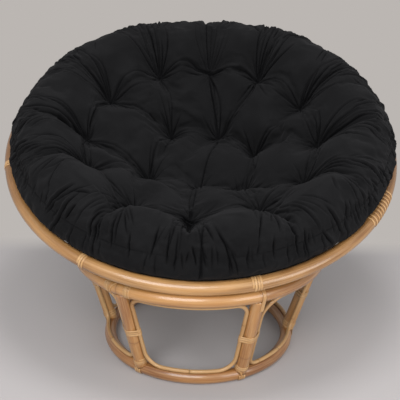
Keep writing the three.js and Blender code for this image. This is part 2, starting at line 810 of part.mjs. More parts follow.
function makeStand() {
  const stand = new THREE.Group();
  const fatter = (ring) => ({ ...ring, diameter: ring.diameter + 2 * seatGap });
  const fatRings = [topRing, baseRing].map((ring) => toSolid(facingOut(ringPole(fatter(ring)))));
  stand.add(piece('top_ring', ringPole(topRing), wood.pole));
  stand.add(piece('base_ring', ringPole(baseRing), wood.pole));
  for (let i = 0; i < legCount; i += 1) {
    const topStops = i === 0 ? legTopStrapStops(i) : legTopTurnsStops(i);
    stand.add(piece(`leg_${i + 1}`, leg(i, fatRings), wood.pole));
    stand.add(piece(`window_cane_${i + 1}`, windowCane(i, windowBends(i)), wood.cane));
    stand.add(binding(`leg_top_binding_${i + 1}`, topStops, i === 0 ? strapWidth : strandWidth));
    stand.add(binding(`leg_middle_binding_${i + 1}`, legMiddleStops(i)));
    stand.add(binding(`leg_foot_binding_${i + 1}`, legFootStops(i)));
  }
  return stand;
}

const seat = makeBowl();
seat.add(piece('cushion', cushionGeometry(), cloth));
seat.position.set(0, 0, centreHeight);
seat.rotation.x = lean;

const chair = new THREE.Group();
chair.add(makeStand(), seat);

// Moves the chair so that the middle of its outline is on the origin.
const outline = new THREE.Box3().setFromObject(chair, true);
const middle = outline.getCenter(new THREE.Vector3());
chair.position.set(-middle.x, -middle.y, 0);
console.log(`lean ${deg(lean).toFixed(3)} degrees, hinge height ${centreHeight.toFixed(2)} mm`);
console.log(`stand's axis at x ${(-middle.x).toFixed(3)}, y ${(-middle.y).toFixed(3)} mm`);

export default chair;
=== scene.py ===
"""Looks of the papasan chair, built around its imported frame.

Sizes are in millimetres and degrees, in each part's own directions: +Z is up, the chair faces -Y,
and an angle of 0 points to the front and grows towards +X. A finished piece is in metres, in the
frame's directions.
"""

import json
import logging
import math
from dataclasses import dataclass, field, replace
from enum import Enum, IntEnum
from typing import ClassVar, Sequence

import bmesh
import bpy
import numpy as np
from mathutils import Matrix, Vector

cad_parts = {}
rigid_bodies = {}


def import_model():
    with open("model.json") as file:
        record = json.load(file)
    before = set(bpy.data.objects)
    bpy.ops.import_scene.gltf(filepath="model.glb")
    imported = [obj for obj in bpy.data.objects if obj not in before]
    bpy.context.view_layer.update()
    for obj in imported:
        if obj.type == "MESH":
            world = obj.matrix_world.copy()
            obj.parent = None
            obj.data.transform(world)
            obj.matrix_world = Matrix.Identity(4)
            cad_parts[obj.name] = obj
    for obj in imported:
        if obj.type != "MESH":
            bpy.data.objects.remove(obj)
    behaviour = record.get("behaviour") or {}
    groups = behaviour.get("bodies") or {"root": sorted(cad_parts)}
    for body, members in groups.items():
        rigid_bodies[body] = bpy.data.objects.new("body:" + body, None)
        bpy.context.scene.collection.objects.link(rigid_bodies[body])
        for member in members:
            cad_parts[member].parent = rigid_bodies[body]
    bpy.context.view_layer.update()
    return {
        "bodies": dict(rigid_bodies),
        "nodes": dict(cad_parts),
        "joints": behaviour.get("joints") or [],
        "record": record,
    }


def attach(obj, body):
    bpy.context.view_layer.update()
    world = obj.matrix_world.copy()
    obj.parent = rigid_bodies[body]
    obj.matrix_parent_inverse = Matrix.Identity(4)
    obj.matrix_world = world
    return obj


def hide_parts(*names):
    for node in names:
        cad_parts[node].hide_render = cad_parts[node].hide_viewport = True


Drawing = bmesh.types.BMesh
Socket = bpy.types.NodeSocket
Tone = tuple[int, int, int]

LOG = logging.getLogger("papasan")
METRES = 0.001
FULL_TURN = math.tau
HALF_TURN = math.pi
QUARTER_TURN = math.pi / 2
UP = Vector((0, 0, 1))
GRAIN = "grain_place"
# how dark the painted shade at the bottom of a fold is, at each corner of the cover
FOLD_SHADE = "fold_painted_shade"
PUCKER = "pucker_place"
JOINT_PITCH = 0.33  # metres of grain between two dark joints of a pole
POLE_SIDES = 24  # of the outline of a thick pole, an inner ring, and a rib or cane
INNER_SIDES = 16
THIN_SIDES = 14


class Body(Enum):
    """The moving parts of the chair."""

    STAND = "stand"
    BOWL = "bowl"
    CUSHION = "cushion"


class Slot(Enum):
    """The record's material slots."""

    POLE = "rattan_pole"
    RIB = "rattan_rib"
    CANE = "rattan_cane"
    PEEL = "rattan_peel"
    CLOTH = "cushion_cloth"


class Seed(IntEnum):
    """Where the grain of each kind of piece starts. Its pieces count on from there."""

    RIM = 3
    STAND_RING = 7
    INNER_RING = 20
    RIB = 30
    LEG = 40
    CANE = 50
    RIM_PEEL = 60
    TOP_PEEL = 80
    MIDDLE_PEEL = 90
    FOOT_PEEL = 100
    TAIL_PEEL = 110


# Places and routes


def around(radius: float, angle: float, height: float) -> Vector:
    """A point given by its distance from the upright axis, its angle and its height."""
    return Vector((radius * math.sin(angle), -radius * math.cos(angle), height))


def spaced(start: float, end: float, count: int) -> list[float]:
    """Values from start to end in count even steps, both ends among them."""
    return [start + (end - start) * i / count for i in range(count + 1)]


def eased(share: float) -> float:
    """A share from 0 to 1 that starts and ends gently."""
    share = min(max(share, 0.0), 1.0)
    return share * share * (3 - 2 * share)


@dataclass(frozen=True)
class Stop:
    """One stop of a bent pole or strand: its middle, and the way out of what it lies on."""

    place: Vector
    out: Vector


@dataclass(frozen=True)
class Grain:
    """How the grain of a pole lies.

    A joint is the dark ring where a leaf once grew. seed moves the grain on, so that no two poles
    look the same.
    """

    first_joint: float = 110.0
    joint_spacing: float = 330.0
    swell: float = 0.022
    reach: float = 9.0
    seed: int = 0

    def along(self, travelled: float) -> float:
        """Metres along the grain, at a distance in millimetres from the pole's start."""
        return (self.seed + (travelled - self.first_joint) / self.joint_spacing) * JOINT_PITCH

    def swelling(self, travelled: float) -> float:
        """How much thicker the pole is there than between its joints."""
        joints = (travelled - self.first_joint) / self.joint_spacing
        away = (joints - round(joints)) * self.joint_spacing
        return 1 + self.swell * math.exp(-((away / self.reach) ** 2))


@dataclass(frozen=True)
class Section:
    """The outline of a pole or strand: sides, half its width and half its thickness.

    flatness above 1 squares an oval, as on a strip of peel.
    """

    sides: int
    half_width: float
    half_height: float
    flatness: float = 1.0

    def draw(self, bm: Drawing) -> list[bmesh.types.BMVert]:
        """Draws the outline flat round the origin.

        Args:
            bm: The mesh that gets it.

        Returns:
            Its corners.
        """
        made = bmesh.ops.create_circle(bm, segments=self.sides, radius=1.0)["verts"]
        for corner in made:
            x, y, _ = corner.co
            squared = math.copysign(abs(y) ** (1 / self.flatness), y)
            corner.co = (x * self.half_width, squared * self.half_height, 0)
        return made


def round_section(diameter: float, sides: int) -> Section:
    """The section of a round pole."""
    return Section(sides, diameter / 2, diameter / 2)


def stop_frames(stops: Sequence[Stop], closed: bool) -> list[Matrix]:
    """Finds how the section lies at each stop.

    Args:
        stops: The route.
        closed: Whether the last stop leads back to the first.

    Returns:
        A matrix for each stop, with the section's width, its out direction and the route as axes.
    """
    frames = []
    count = len(stops)
    for index, stop in enumerate(stops):
        before = stops[index - 1] if closed or index else stop
        after = stops[(index + 1) % count] if closed or index + 1 < count else stop
        along = (after.place - before.place).normalized()
        across = stop.out.cross(along).normalized()
        basis = Matrix((across, along.cross(across), along)).transposed().to_4x4()
        frames.append(Matrix.Translation(stop.place) @ basis)
    return frames


def ring_edges(verts: Sequence[bmesh.types.BMVert]) -> list[bmesh.types.BMEdge]:
    """The edges that join these corners to each other, in the corners' order."""
    order = {vert: place for place, vert in enumerate(verts)}
    edges = {edge for vert in verts for edge in vert.link_edges}
    inner = [edge for edge in edges if all(vert in order for vert in edge.verts)]
    return sorted(inner, key=lambda edge: sorted(order[vert] for vert in edge.verts))


def sweep(
    stops: Sequence[Stop], section: Section, grain: Grain, closed: bool = False
) -> Drawing:
    """Draws a section along a route, from stop to stop.

    Args:
        stops: The route.
        section: The outline.
        grain: How the grain lies.
        closed: Whether the last stop leads back to the first.

    Returns:
        A closed mesh whose GRAIN attribute holds the place along and across the grain, in metres.
    """
    bm = bmesh.new()
    layer = bm.verts.layers.float_vector.new(GRAIN)
    ring = section.draw(bm)
    frames = stop_frames(stops, closed)
    for corner in ring:
        corner[layer] = (0, corner.co.x * METRES, corner.co.y * METRES)
    first = list(ring)
    edges = ring_edges(ring)
    last = Matrix.Identity(4)
    travelled = 0.0
    for index, frame in enumerate(frames):
        if index:
            travelled += (stops[index].place - stops[index - 1].place).length
            made = bmesh.ops.extrude_edge_only(bm, edges=edges)["geom"]
            ring = [item for item in made if isinstance(item, bmesh.types.BMVert)]
            edges = ring_edges(ring)
        swollen = frame @ Matrix.Diagonal((grain.swelling(travelled),) * 2 + (1, 1))
        bmesh.ops.transform(bm, matrix=swollen @ last.inverted(), verts=ring)
        last = swollen
        for corner in ring:
            place = corner[layer]
            corner[layer] = (grain.along(travelled), place[1], place[2])
    if closed:
        bmesh.ops.bridge_loops(bm, edges=edges + ring_edges(first))
    else:
        bmesh.ops.edgeloop_fill(bm, edges=edges)
        bmesh.ops.edgeloop_fill(bm, edges=ring_edges(first))
    return bm


def drawn(bm: Drawing, name: str) -> bpy.types.Mesh:
    """Keeps a drawn mesh under a name and frees the drawing."""
    mesh = bpy.data.meshes.new(name)
    bm.to_mesh(mesh)
    bm.free()
    return mesh


def placed(name: str, data: bpy.types.ID) -> bpy.types.Object:
    """Puts a mesh, a lamp or a camera into the scene."""
    thing = bpy.data.objects.new(name, data)
    bpy.context.scene.collection.objects.link(thing)
    return thing


# Finishes


def new_material(name: str) -> tuple[bpy.types.Material, "NodeSheet"]:
    """A material with a Principled shader, and its nodes."""
    material = bpy.data.materials.new(name)
    return material, NodeSheet(material, "ShaderNodeBsdfPrincipled")


def light_of(tone: Tone) -> tuple[float, ...]:
    """The light that a tone reflects, which is given in display steps from 0 to 255."""
    shares = [step / 255 for step in tone]
    return (*(s / 12.92 if s <= 0.04045 else ((s + 0.055) / 1.055) ** 2.4 for s in shares), 1.0)


class NodeSheet:
    """Lays out the shader nodes of a material or a world."""

    def __init__(self, owner: bpy.types.Material | bpy.types.World, shader: str) -> None:
        """Starts an empty sheet with a shader and an output."""
        owner.use_nodes = True
        self.tree = owner.node_tree
        self.tree.nodes.clear()
        kind = "World" if isinstance(owner, bpy.types.World) else "Material"
        self.shader = self.add(shader)
        self.output = self.add(f"ShaderNodeOutput{kind}")
        self.link(self.shader.outputs[0], self.output.inputs["Surface"])

    def add(self, kind: str, **settings: object) -> bpy.types.Node:
        """Adds a node of a kind and sets its properties."""
        node = self.tree.nodes.new(kind)
        for key, value in settings.items():
            setattr(node, key, value)
        return node

    def link(self, source: Socket, target: Socket) -> None:
        """Joins an output to an input."""
        self.tree.links.new(source, target)

    def fill(self, socket: Socket, value: object) -> None:
        """Gives an input a plain value, or joins it to an output."""
        if isinstance(value, Socket):
            self.link(value, socket)
        else:
            socket.default_value = value

    def attribute(self, name: str, kind: str = "Vector") -> Socket:
        """An attribute of the piece."""
        return self.add("ShaderNodeAttribute", attribute_name=name).outputs[kind]

    def object_place(self) -> Socket:
        """The place in the piece's own directions."""
        return self.add("ShaderNodeTexCoord").outputs["Object"]

    def split(self, place: Socket) -> bpy.types.bpy_prop_collection:
        """The three parts of a place, by the names X, Y and Z."""
        node = self.add("ShaderNodeSeparateXYZ")
        self.link(place, node.inputs["Vector"])
        return node.outputs

    def noise(
        self,
        place: Socket,
        scale: float | tuple[float, float, float],
        detail: float = 2.0,
        rough: float = 0.5,
    ) -> Socket:
        """Noise from 0 to 1 with finer layers. Three scales draw it out along the directions."""
        if isinstance(scale, tuple):
            stretch = self.add("ShaderNodeMapping")
            stretch.inputs["Scale"].default_value = scale
            self.link(place, stretch.inputs["Vector"])
            place, scale = stretch.outputs["Vector"], 1.0
        node = self.add("ShaderNodeTexNoise", noise_dimensions="3D")
        for key, value in (("Scale", scale), ("Detail", detail), ("Roughness", rough)):
            node.inputs[key].default_value = value
        self.link(place, node.inputs["Vector"])
        return node.outputs["Fac"]

    def ranged(
        self, source: Socket, old: tuple[float, float], new: tuple[float, float]
    ) -> Socket:
        """Moves values from one range to another, held at its ends."""
        node = self.add("ShaderNodeMapRange", clamp=True)
        for key, value in zip(("From Min", "From Max", "To Min", "To Max"), (*old, *new)):
            node.inputs[key].default_value = value
        self.link(source, node.inputs["Value"])
        return node.outputs["Result"]

    def maths(
        self, operation: str, first: object, second: object = 0.5, third: object = 0.5
    ) -> Socket:
        """One sum of numbers or sockets."""
        node = self.add("ShaderNodeMath", operation=operation)
        for socket, value in zip(node.inputs, (first, second, third)):
            self.fill(socket, value)
        return node.outputs["Value"]

    def mixed(self, share: Socket, first: object, second: Tone) -> Socket:
        """Mixes a colour with a tone by a share."""
        node = self.add("ShaderNodeMix", data_type="RGBA", blend_type="MIX")
        self.link(share, node.inputs[0])
        self.fill(node.inputs[6], first)
        self.fill(node.inputs[7], light_of(second))
        return node.outputs[2]

    def tinted(
        self,
        colour: object,
        second: Tone,
        source: Socket,
        old: tuple[float, float],
        new: tuple[float, float],
    ) -> Socket:
        """Mixes a colour with a tone by a value that is moved from one range to another."""
        return self.mixed(self.ranged(source, old, new), colour, second)

    def lit(self, kind: str, tone: Tone) -> Socket:
        """A plain shader of a kind, with the light of a tone."""
        node = self.add(kind)
        node.inputs["Color"].default_value = light_of(tone)
        return node.outputs[0]

    def swapped(self, share: Socket, other: Socket) -> None:
        """Shows another shader in place of the sheet's own, by a share."""
        mix = self.add("ShaderNodeMixShader")
        for socket, source in zip(mix.inputs, (share, self.shader.outputs[0], other)):
            self.link(source, socket)
        self.link(mix.outputs[0], self.output.inputs["Surface"])

    def seen(self) -> Socket:
        """1 for rays that the camera, a gloss or a glass sees, and 0 for light."""
        rays = self.add("ShaderNodeLightPath").outputs
        either = self.maths("MAXIMUM", rays["Is Camera Ray"], rays["Is Glossy Ray"])
        return self.maths("MAXIMUM", either, rays["Is Transmission Ray"])

    def bump(self, height: Socket, strength: float, distance: float) -> None:
        """Lets a height in units of distance raise the surface."""
        node = self.add("ShaderNodeBump")
        node.inputs["Strength"].default_value = strength
        node.inputs["Distance"].default_value = distance
        self.link(height, node.inputs["Height"])
        self.link(node.outputs["Normal"], self.shader.inputs["Normal"])

    def plain(self, **values: object) -> None:
        """Sets plain values on the shader's own sockets, with _ for a space in their names."""
        for key, value in values.items():
            self.shader.inputs[key.replace("_", " ")].default_value = value


@dataclass(frozen=True)
class RattanFinish:
    """Varnished rattan: tones of its fibre, its mottling and its joints, and its gloss, with a
    painted shade towards the back where one is given.
    """

    name: str
    pale: Tone
    honey: Tone
    amber: Tone
    joint: Tone = (84, 52, 28)
    roughness: float = 0.42
    coat: float = 0.5
    coat_roughness: float = 0.16
    fibre_depth: float = 0.00012
    has_joints: bool = True
    turning: tuple[float, float] | None = None  # painted shade: Y from front to back over which the tone turns to amber, as the sides and back fall in shade

    def make(self) -> bpy.types.Material:
        """Builds the material.

        Returns:
            A material that reads the GRAIN attribute of a piece.
        """
        material, sheet = new_material(self.name)
        place = sheet.attribute(GRAIN)
        mottle = sheet.noise(place, (5, 30, 30))
        streak = sheet.noise(place, (9, 300, 300), 3.0, 0.6)
        fibre = sheet.noise(place, (45, 2200, 2200))
        colour = light_of(self.honey)
        colour = sheet.tinted(colour, self.amber, mottle, (0.35, 0.68), (0.0, 0.95))
        colour = sheet.tinted(colour, self.pale, streak, (0.42, 0.74), (0.0, 0.55))
        colour = sheet.tinted(colour, self.joint, fibre, (0.3, 0.5), (0.12, 0.0))
        # painted shade: the tone turns darker amber towards the back, where less light falls
        if self.turning:
            back = sheet.split(sheet.object_place())["Y"]
            colour = sheet.tinted(colour, self.amber, back, self.turning, (0.0, 0.85))
        height = sheet.maths("ADD", sheet.maths("MULTIPLY", streak, 0.5), fibre)
        if self.has_joints:
            colour, height = self.with_joints(sheet, place, colour, height)
        sheet.link(colour, sheet.shader.inputs["Base Color"])
        sheet.bump(height, 0.35, self.fibre_depth)
        sheet.plain(Roughness=self.roughness, Coat_Weight=self.coat, IOR=1.5)
        sheet.plain(Coat_Roughness=self.coat_roughness)
        return material

    def with_joints(
        self,
        sheet: NodeSheet,
        place: Socket,
        colour: Socket,
        height: Socket,
    ) -> tuple[Socket, Socket]:
        """Adds the dark, slightly ragged rings at the pole's joints.

        Args:
            sheet: The material's nodes.
            place: Place along and across the grain.
            colour: Colour without the joints.
            height: Height without the joints.

        Returns:
            Colour and height with them.
        """
        ragged = sheet.noise(place, (20, 90, 90))
        wander = sheet.maths("MULTIPLY", sheet.maths("SUBTRACT", ragged, 0.5), 0.007)
        along = sheet.maths("ADD", sheet.split(place)["X"], wander)
        joints = sheet.maths("DIVIDE", along, JOINT_PITCH)
        away = sheet.maths("SUBTRACT", joints, sheet.maths("ROUND", joints))
        away = sheet.maths("MULTIPLY", sheet.maths("ABSOLUTE", away), JOINT_PITCH)
        colour = sheet.tinted(colour, self.amber, away, (0.001, 0.009), (0.3, 0.0))
        line = sheet.ranged(away, (0.0005, 0.0015), (0.45, 0.0))
        colour = sheet.mixed(line, colour, self.joint)
        height = sheet.maths("SUBTRACT", height, sheet.maths("MULTIPLY", line, 2.5))
        return colour, height


@dataclass(frozen=True)
class ClothFinish:
    """Matt cotton: its tone, the soft shine of its nap, its weave, and painted shade in its folds
    and round its tufts.
    """

    name: str = "cushion_cotton"
    tone: Tone = (14, 14, 15)
    worn: Tone = (19, 19, 20)
    # painted shade: the near-black tone that folds, pucker streaks and tuft pits darken to
    crease: Tone = (2, 2, 3)
    threads_per_metre: float = 1500.0
    pucker_reach: float = 0.075

    def make(self) -> bpy.types.Material:
        """Builds the material.

        Returns:
            A material on object coordinates and on the cover's FOLD_SHADE and PUCKER attributes.
        """
        material, sheet = new_material(self.name)
        place = sheet.object_place()
        colour = light_of(self.tone)
        patches = sheet.noise(place, 14.0, 3.0)
        colour = sheet.tinted(colour, self.worn, patches, (0.4, 0.7), (0.0, 1.0))
        pucker = sheet.attribute(PUCKER)
        away = sheet.split(pucker)["Z"]
        streaks = sheet.ranged(sheet.noise(pucker, (6.5, 6.5, 22.0)), (0.36, 0.56), (0.0, 1.0))
        near = sheet.ranged(away, (0.012, self.pucker_reach), (1.0, 0.0))
        hollow = sheet.maths("MULTIPLY", sheet.maths("SUBTRACT", 1.0, streaks), near)
        # painted shade: darker between the pucker streaks near each tuft, besides their bump
        colour = sheet.mixed(sheet.maths("MULTIPLY", hollow, 0.45), colour, self.crease)
        # painted shade: darker along the bottom of each fold
        fold = sheet.attribute(FOLD_SHADE, "Fac")
        colour = sheet.tinted(colour, self.crease, fold, (0.1, 0.75), (0.0, 0.95))
        # painted shade: darker in each tuft's pit
        colour = sheet.tinted(colour, self.crease, away, (0.003, 0.014), (0.8, 0.0))
        sheet.link(colour, sheet.shader.inputs["Base Color"])
        weave = sheet.noise(place, self.threads_per_metre, 1.0)
        height = sheet.maths("MULTIPLY", hollow, -10.0)
        sheet.bump(sheet.maths("ADD", height, weave), 0.5, 0.0002)
        sheet.plain(Roughness=0.95, Specular_IOR_Level=0.1, Sheen_Weight=0.03)
        sheet.plain(Sheen_Roughness=0.6, Sheen_Tint=(0.6, 0.6, 0.65, 1.0))
        return material


class Finishes:
    """The chair's finishes."""

    def __init__(self) -> None:
        """Makes each finish once."""
        pole = RattanFinish(
            "rattan_pole_varnish", (198, 158, 108), (180, 130, 74), (134, 84, 40), coat=0.8
        )
        self.pole = pole.make()
        # the rim's sides and back get a painted shade in its dark amber
        self.rim = replace(
            pole,
            name="rattan_rim_varnish",
            pale=(206, 166, 115),
            honey=(188, 140, 84),
            amber=(108, 68, 30),
            turning=(-0.5, -0.1),
        ).make()
        # painted shade: a darker copy of the pole's finish for the base ring, which lies in shade
        self.base = replace(
            pole,
            name="rattan_base_painted_shade",
            pale=(184, 142, 94),
            honey=(160, 110, 60),
            amber=(116, 70, 33),
        ).make()
        self.rib = RattanFinish(
            "rattan_rib_varnish", (168, 130, 88), (146, 100, 56), (116, 74, 38)
        ).make()
        cane = ("thin_cane_varnish", (200, 168, 124), (184, 144, 94), (158, 114, 66))
        self.cane = RattanFinish(*cane, roughness=0.48, coat=0.3).make()
        peel = ("rattan_peel", (210, 174, 128), (196, 155, 104), (168, 122, 72))
        self.peel = RattanFinish(*peel, roughness=0.4, coat=0.4, has_joints=False).make()
        self.cloth = ClothFinish().make()


# Winding and bending


@dataclass(frozen=True)
class Ring:
    """A pole bent to a ring round the upright axis."""

    radius: float
    height: float
    pole: float
    turn: float = 0.0  # slope of the line on which windings are counted from

    def stop(self, angle: float, pole_angle: float, away: float) -> Stop:
        """A stop at an angle round the axis and another round the pole, away from its middle."""
        reach = self.radius + away * math.cos(pole_angle)
        place = around(reach, angle, self.height + away * math.sin(pole_angle))
        return Stop(place, around(math.cos(pole_angle), angle, math.sin(pole_angle)))

    def stops(self, start: float, end: float, spacing: float) -> list[Stop]:
        """Stops along the pole's middle from one angle to another, a spacing apart."""
        count = max(3, round(abs(end - start) * self.radius / spacing))
        angles = spaced(start, end, count)
        return [Stop(around(self.radius, a, self.height), around(1, a, 0)) for a in angles]


@dataclass(frozen=True)
class Peel:
    """A flat strand of rattan peel: its section, the room below it and its turns."""

    width: float = 5.6
    thickness: float = 1.2
    space: float = 0.9
    lift: float = 0.1
    steps: int = 30  # to one turn
    sides: int = 10
    tuck: float = 1.6  # how far a tucked end dips into the pole
    tuck_share: float = 0.16  # of a turn, over which it dips
    waver: float = 0.35  # how far the turns stray along the pole
    waves: float = 1.7  # of that in one winding
    wave_shift: float = 9.0  # so that two windings don't waver alike

    @property
    def pitch(self) -> float:
        """From one turn to the next."""
        return self.width + self.space

    @property
    def off(self) -> float:
        """From a pole's surface to the strand's middle."""
        return self.lift + self.thickness / 2

    @property
    def section(self) -> Section:
        """The strand's outline, flat with rounded edges."""
        return Section(self.sides, self.width / 2, self.thickness / 2, flatness=2.2)

    def dip(self, index: float, count: int) -> float:
        """How far the strand dips at a step, so that its two ends are tucked in."""
        from_end = min(index, count - index) / (self.steps * self.tuck_share)
        return self.tuck * (1 - eased(from_end))

    def grain(self, seed: int) -> Grain:
        """The strand's grain, with no joints."""
        return Grain(first_joint=0, swell=0.0, seed=seed)

    def round_ring(self, ring: Ring, middle: float, turns: float, length: float) -> list[Stop]:
        """Turns round a ring's pole.

        Args:
            ring: The ring.
            middle: Angle of the middle of the winding.
            turns: Number of turns.
            length: Length of the winding along the ring, from its first to its last turn.

        Returns:
            The strand's stops.
        """
        count = round(turns * self.steps)
        stops = []
        for i in range(count + 1):
            wave = i * self.waves * FULL_TURN / self.steps / turns + middle * self.wave_shift
            along = length * (i / count - 0.5) + self.waver * math.sin(wave)
            away = ring.pole / 2 + self.off - self.dip(i, count)
            pole_angle = ring.turn + FULL_TURN * i / self.steps
            stops.append(ring.stop(middle + along / ring.radius, pole_angle, away))
        return stops


@dataclass
class Group:
    """Pieces that move together, and the matrix that takes their directions to the frame's."""

    body: ClassVar[Body]
    finishes: Finishes
    matrix: Matrix

    def make(
        self, name: str, bm: Drawing, finish: str, slot: Slot, node: str
    ) -> bpy.types.Object:
        """Makes a piece of a drawn mesh and puts it on the group's body.

        Args:
            name: The piece's name.
            bm: The mesh in the group's own directions. It is freed.
            finish: Name of its finish.
            slot: The record's slot that the finish belongs to. Not used.
            node: The CAD node that the piece is shown in place of.

        Returns:
            The piece.
        """
        bmesh.ops.recalc_face_normals(bm, faces=bm.faces)
        bmesh.ops.transform(bm, matrix=self.matrix, verts=bm.verts)
        mesh = drawn(bm, name)
        mesh.shade_smooth()
        mesh.materials.append(getattr(self.finishes, finish))
        piece = placed(name, mesh)
        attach(piece, self.body.value)
        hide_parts(node)
        LOG.info("%s: %d faces on %s", name, len(mesh.polygons), self.body.value)
        return piece


# The bowl


@dataclass
class Bowl(Group):
    """Rim, ribs, inner rings and the bindings of the rim, in the bowl's own directions."""

    body = Body.BOWL
    rim_radius: float = 533.0
    rim_pole: float = 33.8
    depth: float = 290.0
    rib_pole: float = 16.0
    pair_count: int = 8
    first_pair: float = 14.5
    half_spread: float = 22.5
    bend_place: float = 80.88
    mid_radius: float = 322.0
    bottom_radius: float = 116.88
    inner_pole: float = 20.0
    inner_joint: float = 290.0  # about this far from one joint to the next
    rib_gap: float = 0.4
    rib_sunk: float = 2.0  # how far a rib's end goes into the rim
    rib_spacing: float = 9.0
    bend_steps: int = 14
    scarf: float = 96.0
    scarf_gap: float = 0.3
    splice: int = 1
    splice_turns: int = 10
    splice_length: float = 128.0
    rim_turns: int = 3
    front_turns: int = 4
    stop_spacing: float = 7.0
    peel: Peel = field(default_factory=Peel)

    def __post_init__(self) -> None:
        """Works out the sphere that holds the ribs' middles."""
        self.sphere = (self.rim_radius**2 + self.depth**2) / (2 * self.depth)
        self.rim_drop = self.sphere - self.depth
        self.rim = Ring(self.rim_radius, -self.rim_drop, self.rim_pole)

    def pair_angle(self, index: int) -> float:
        """Angle of the middle of a rib pair."""
        return math.radians(self.first_pair) + FULL_TURN * index / self.pair_count

    def build(self) -> None:
        """Builds every piece of the bowl."""
        self.make("rim_pole", self.rim_mesh(), "rim", Slot.POLE, "rim")
        rings = (("mid_ring", self.mid_radius), ("bottom_ring", self.bottom_radius))
        for seed, (node, radius) in enumerate(rings, Seed.INNER_RING):
            self.make(f"{node}_pole", self.inner_ring(radius, seed), "rib", Slot.RIB, node)
        for i in range(self.pair_count):
            node = f"rib_pair_{i + 1}"
            self.make(f"{node}_pole", self.rib_pair(i), "rib", Slot.RIB, node)
            node = "rim_splice_binding" if i == self.splice else f"rim_binding_{i + 1}"
            self.make(f"{node}_peel", self.binding(i), "peel", Slot.PEEL, node)

    def rim_mesh(self) -> Drawing:
        """The rim, a pole bent round once, whose ends overlap and are cut on a long slant."""
        middle = self.pair_angle(self.splice)
        beyond = self.scarf / 2 / self.rim_radius
        stops = self.rim.stops(middle - beyond, middle + FULL_TURN + beyond, self.stop_spacing)
        pair_spacing = FULL_TURN * self.rim_radius / self.pair_count
        grain = Grain(first_joint=self.scarf / 2, joint_spacing=pair_spacing, seed=Seed.RIM)
        bm = sweep(stops, round_section(self.rim_pole, POLE_SIDES), grain)
        slant = math.atan2(self.rim_pole, self.scarf)
        along = around(1, middle + QUARTER_TURN, 0)
        outward = around(1, middle, 0)
        normal = outward * math.cos(slant) + along * math.sin(slant)
        place = around(self.rim_radius, middle, -self.rim_drop)
        layer = bm.verts.layers.float_vector[GRAIN]
        length = (stops[1].place - stops[0].place).length * (len(stops) - 1)
        for sign, end in ((1, 2 * self.scarf), (-1, length - 2 * self.scarf)):
            limit = grain.along(end)
            faces = [f for f in bm.faces if all((limit - v[layer][0]) * sign > 0 for v in f.verts)]
            for items in (bm.verts, bm.edges, bm.faces):
                items.index_update()
            geometry = {item for face in faces for item in (face, *face.edges, *face.verts)}
            cut = bmesh.ops.bisect_plane(
                bm,
                geom=sorted(geometry, key=lambda item: (str(type(item)), item.index)),
                plane_co=place + normal * sign * self.scarf_gap / 2,
                plane_no=normal * sign,
                clear_inner=True,
            )["geom_cut"]
            edges = [item for item in cut if isinstance(item, bmesh.types.BMEdge)]
            bmesh.ops.edgeloop_fill(bm, edges=edges)
        return bm

    def inner_ring(self, radius: float, seed: int) -> Drawing:
        """A ring laid on the inner side of the ribs."""
        from_centre = self.sphere - self.rib_pole / 2 - self.rib_gap - self.inner_pole / 2
        ring = Ring(radius, -math.sqrt(from_centre**2 - radius**2), self.inner_pole)
        stops = ring.stops(0, FULL_TURN, self.stop_spacing)[:-1]
        joints = max(1, round(FULL_TURN * radius / self.inner_joint))
        grain = Grain(joint_spacing=FULL_TURN * radius / joints, seed=seed)
        return sweep(stops, round_section(self.inner_pole, INNER_SIDES), grain, closed=True)

    def on_sphere(self, polar: float, across: float, angle: float) -> Stop:
        """A stop on the sphere, given by its angles from the lowest point and across the pair."""
        share = math.cos(across)
        out = Vector((math.sin(across), -math.sin(polar) * share, -math.cos(polar) * share))
        out.rotate(Matrix.Rotation(angle, 3, "Z"))
        return Stop(out * self.sphere, out)

    def rib_pair(self, index: int) -> Drawing:
        """One pole that runs from the rim down, round a tight bend and back up to the rim."""
        angle = self.pair_angle(index)
        across = self.half_spread / self.sphere
        sunk = self.rib_sunk / self.sphere
        rim_side = (self.rim_pole / 2) / self.sphere
        at_rim = math.acos(self.rim_drop / self.sphere / math.cos(across)) - rim_side + sunk
        at_bend = math.asin(self.bend_place / self.sphere)
        count = round((at_rim - at_bend) * self.sphere / self.rib_spacing)
        down = [self.on_sphere(p, -across, angle) for p in spaced(at_rim, at_bend, count)]
        bend = []
        for turned in spaced(0, HALF_TURN, self.bend_steps)[1:-1]:
            polar = at_bend - across * math.sin(turned)
            bend.append(self.on_sphere(polar, -across * math.cos(turned), angle))
        up = [self.on_sphere(p, across, angle) for p in spaced(at_bend, at_rim, count)]
        first = 90 + 37 * (index % 4)
        spacing = 260 + 9 * index
        grain = Grain(first_joint=first, joint_spacing=spacing, seed=Seed.RIB + index)
        return sweep([*down, *bend, *up], round_section(self.rib_pole, THIN_SIDES), grain)

    def binding(self, index: int) -> Drawing:
        """The peel wound round the rim at a rib pair."""
        turns = self.front_turns if index == 0 else self.rim_turns
        length = turns * self.peel.pitch
        if index == self.splice:
            turns, length = self.splice_turns, self.splice_length
        stops = self.peel.round_ring(self.rim, self.pair_angle(index), turns, length)
        return sweep(stops, self.peel.section, self.peel.grain(Seed.RIM_PEEL + 2 * index))


# The stand


class LegTop(Enum):
    """How the peel holds a leg's top to the top ring."""

    TURNS = "turns beside the leg and a slant over the ring"
    STRAP = "a strap over the ring and down both faces of the leg"


@dataclass(frozen=True)
class LegFrame:
    """Fixed directions at a leg, and its foot on the base ring's middle."""

    out: Vector
    side: Vector
    up: Vector
    foot: Vector

    def at(self, outward: float, sideways: float, upward: float) -> Vector:
        """A place given along the three directions."""
        return self.foot + self.out * outward + self.side * sideways + self.up * upward


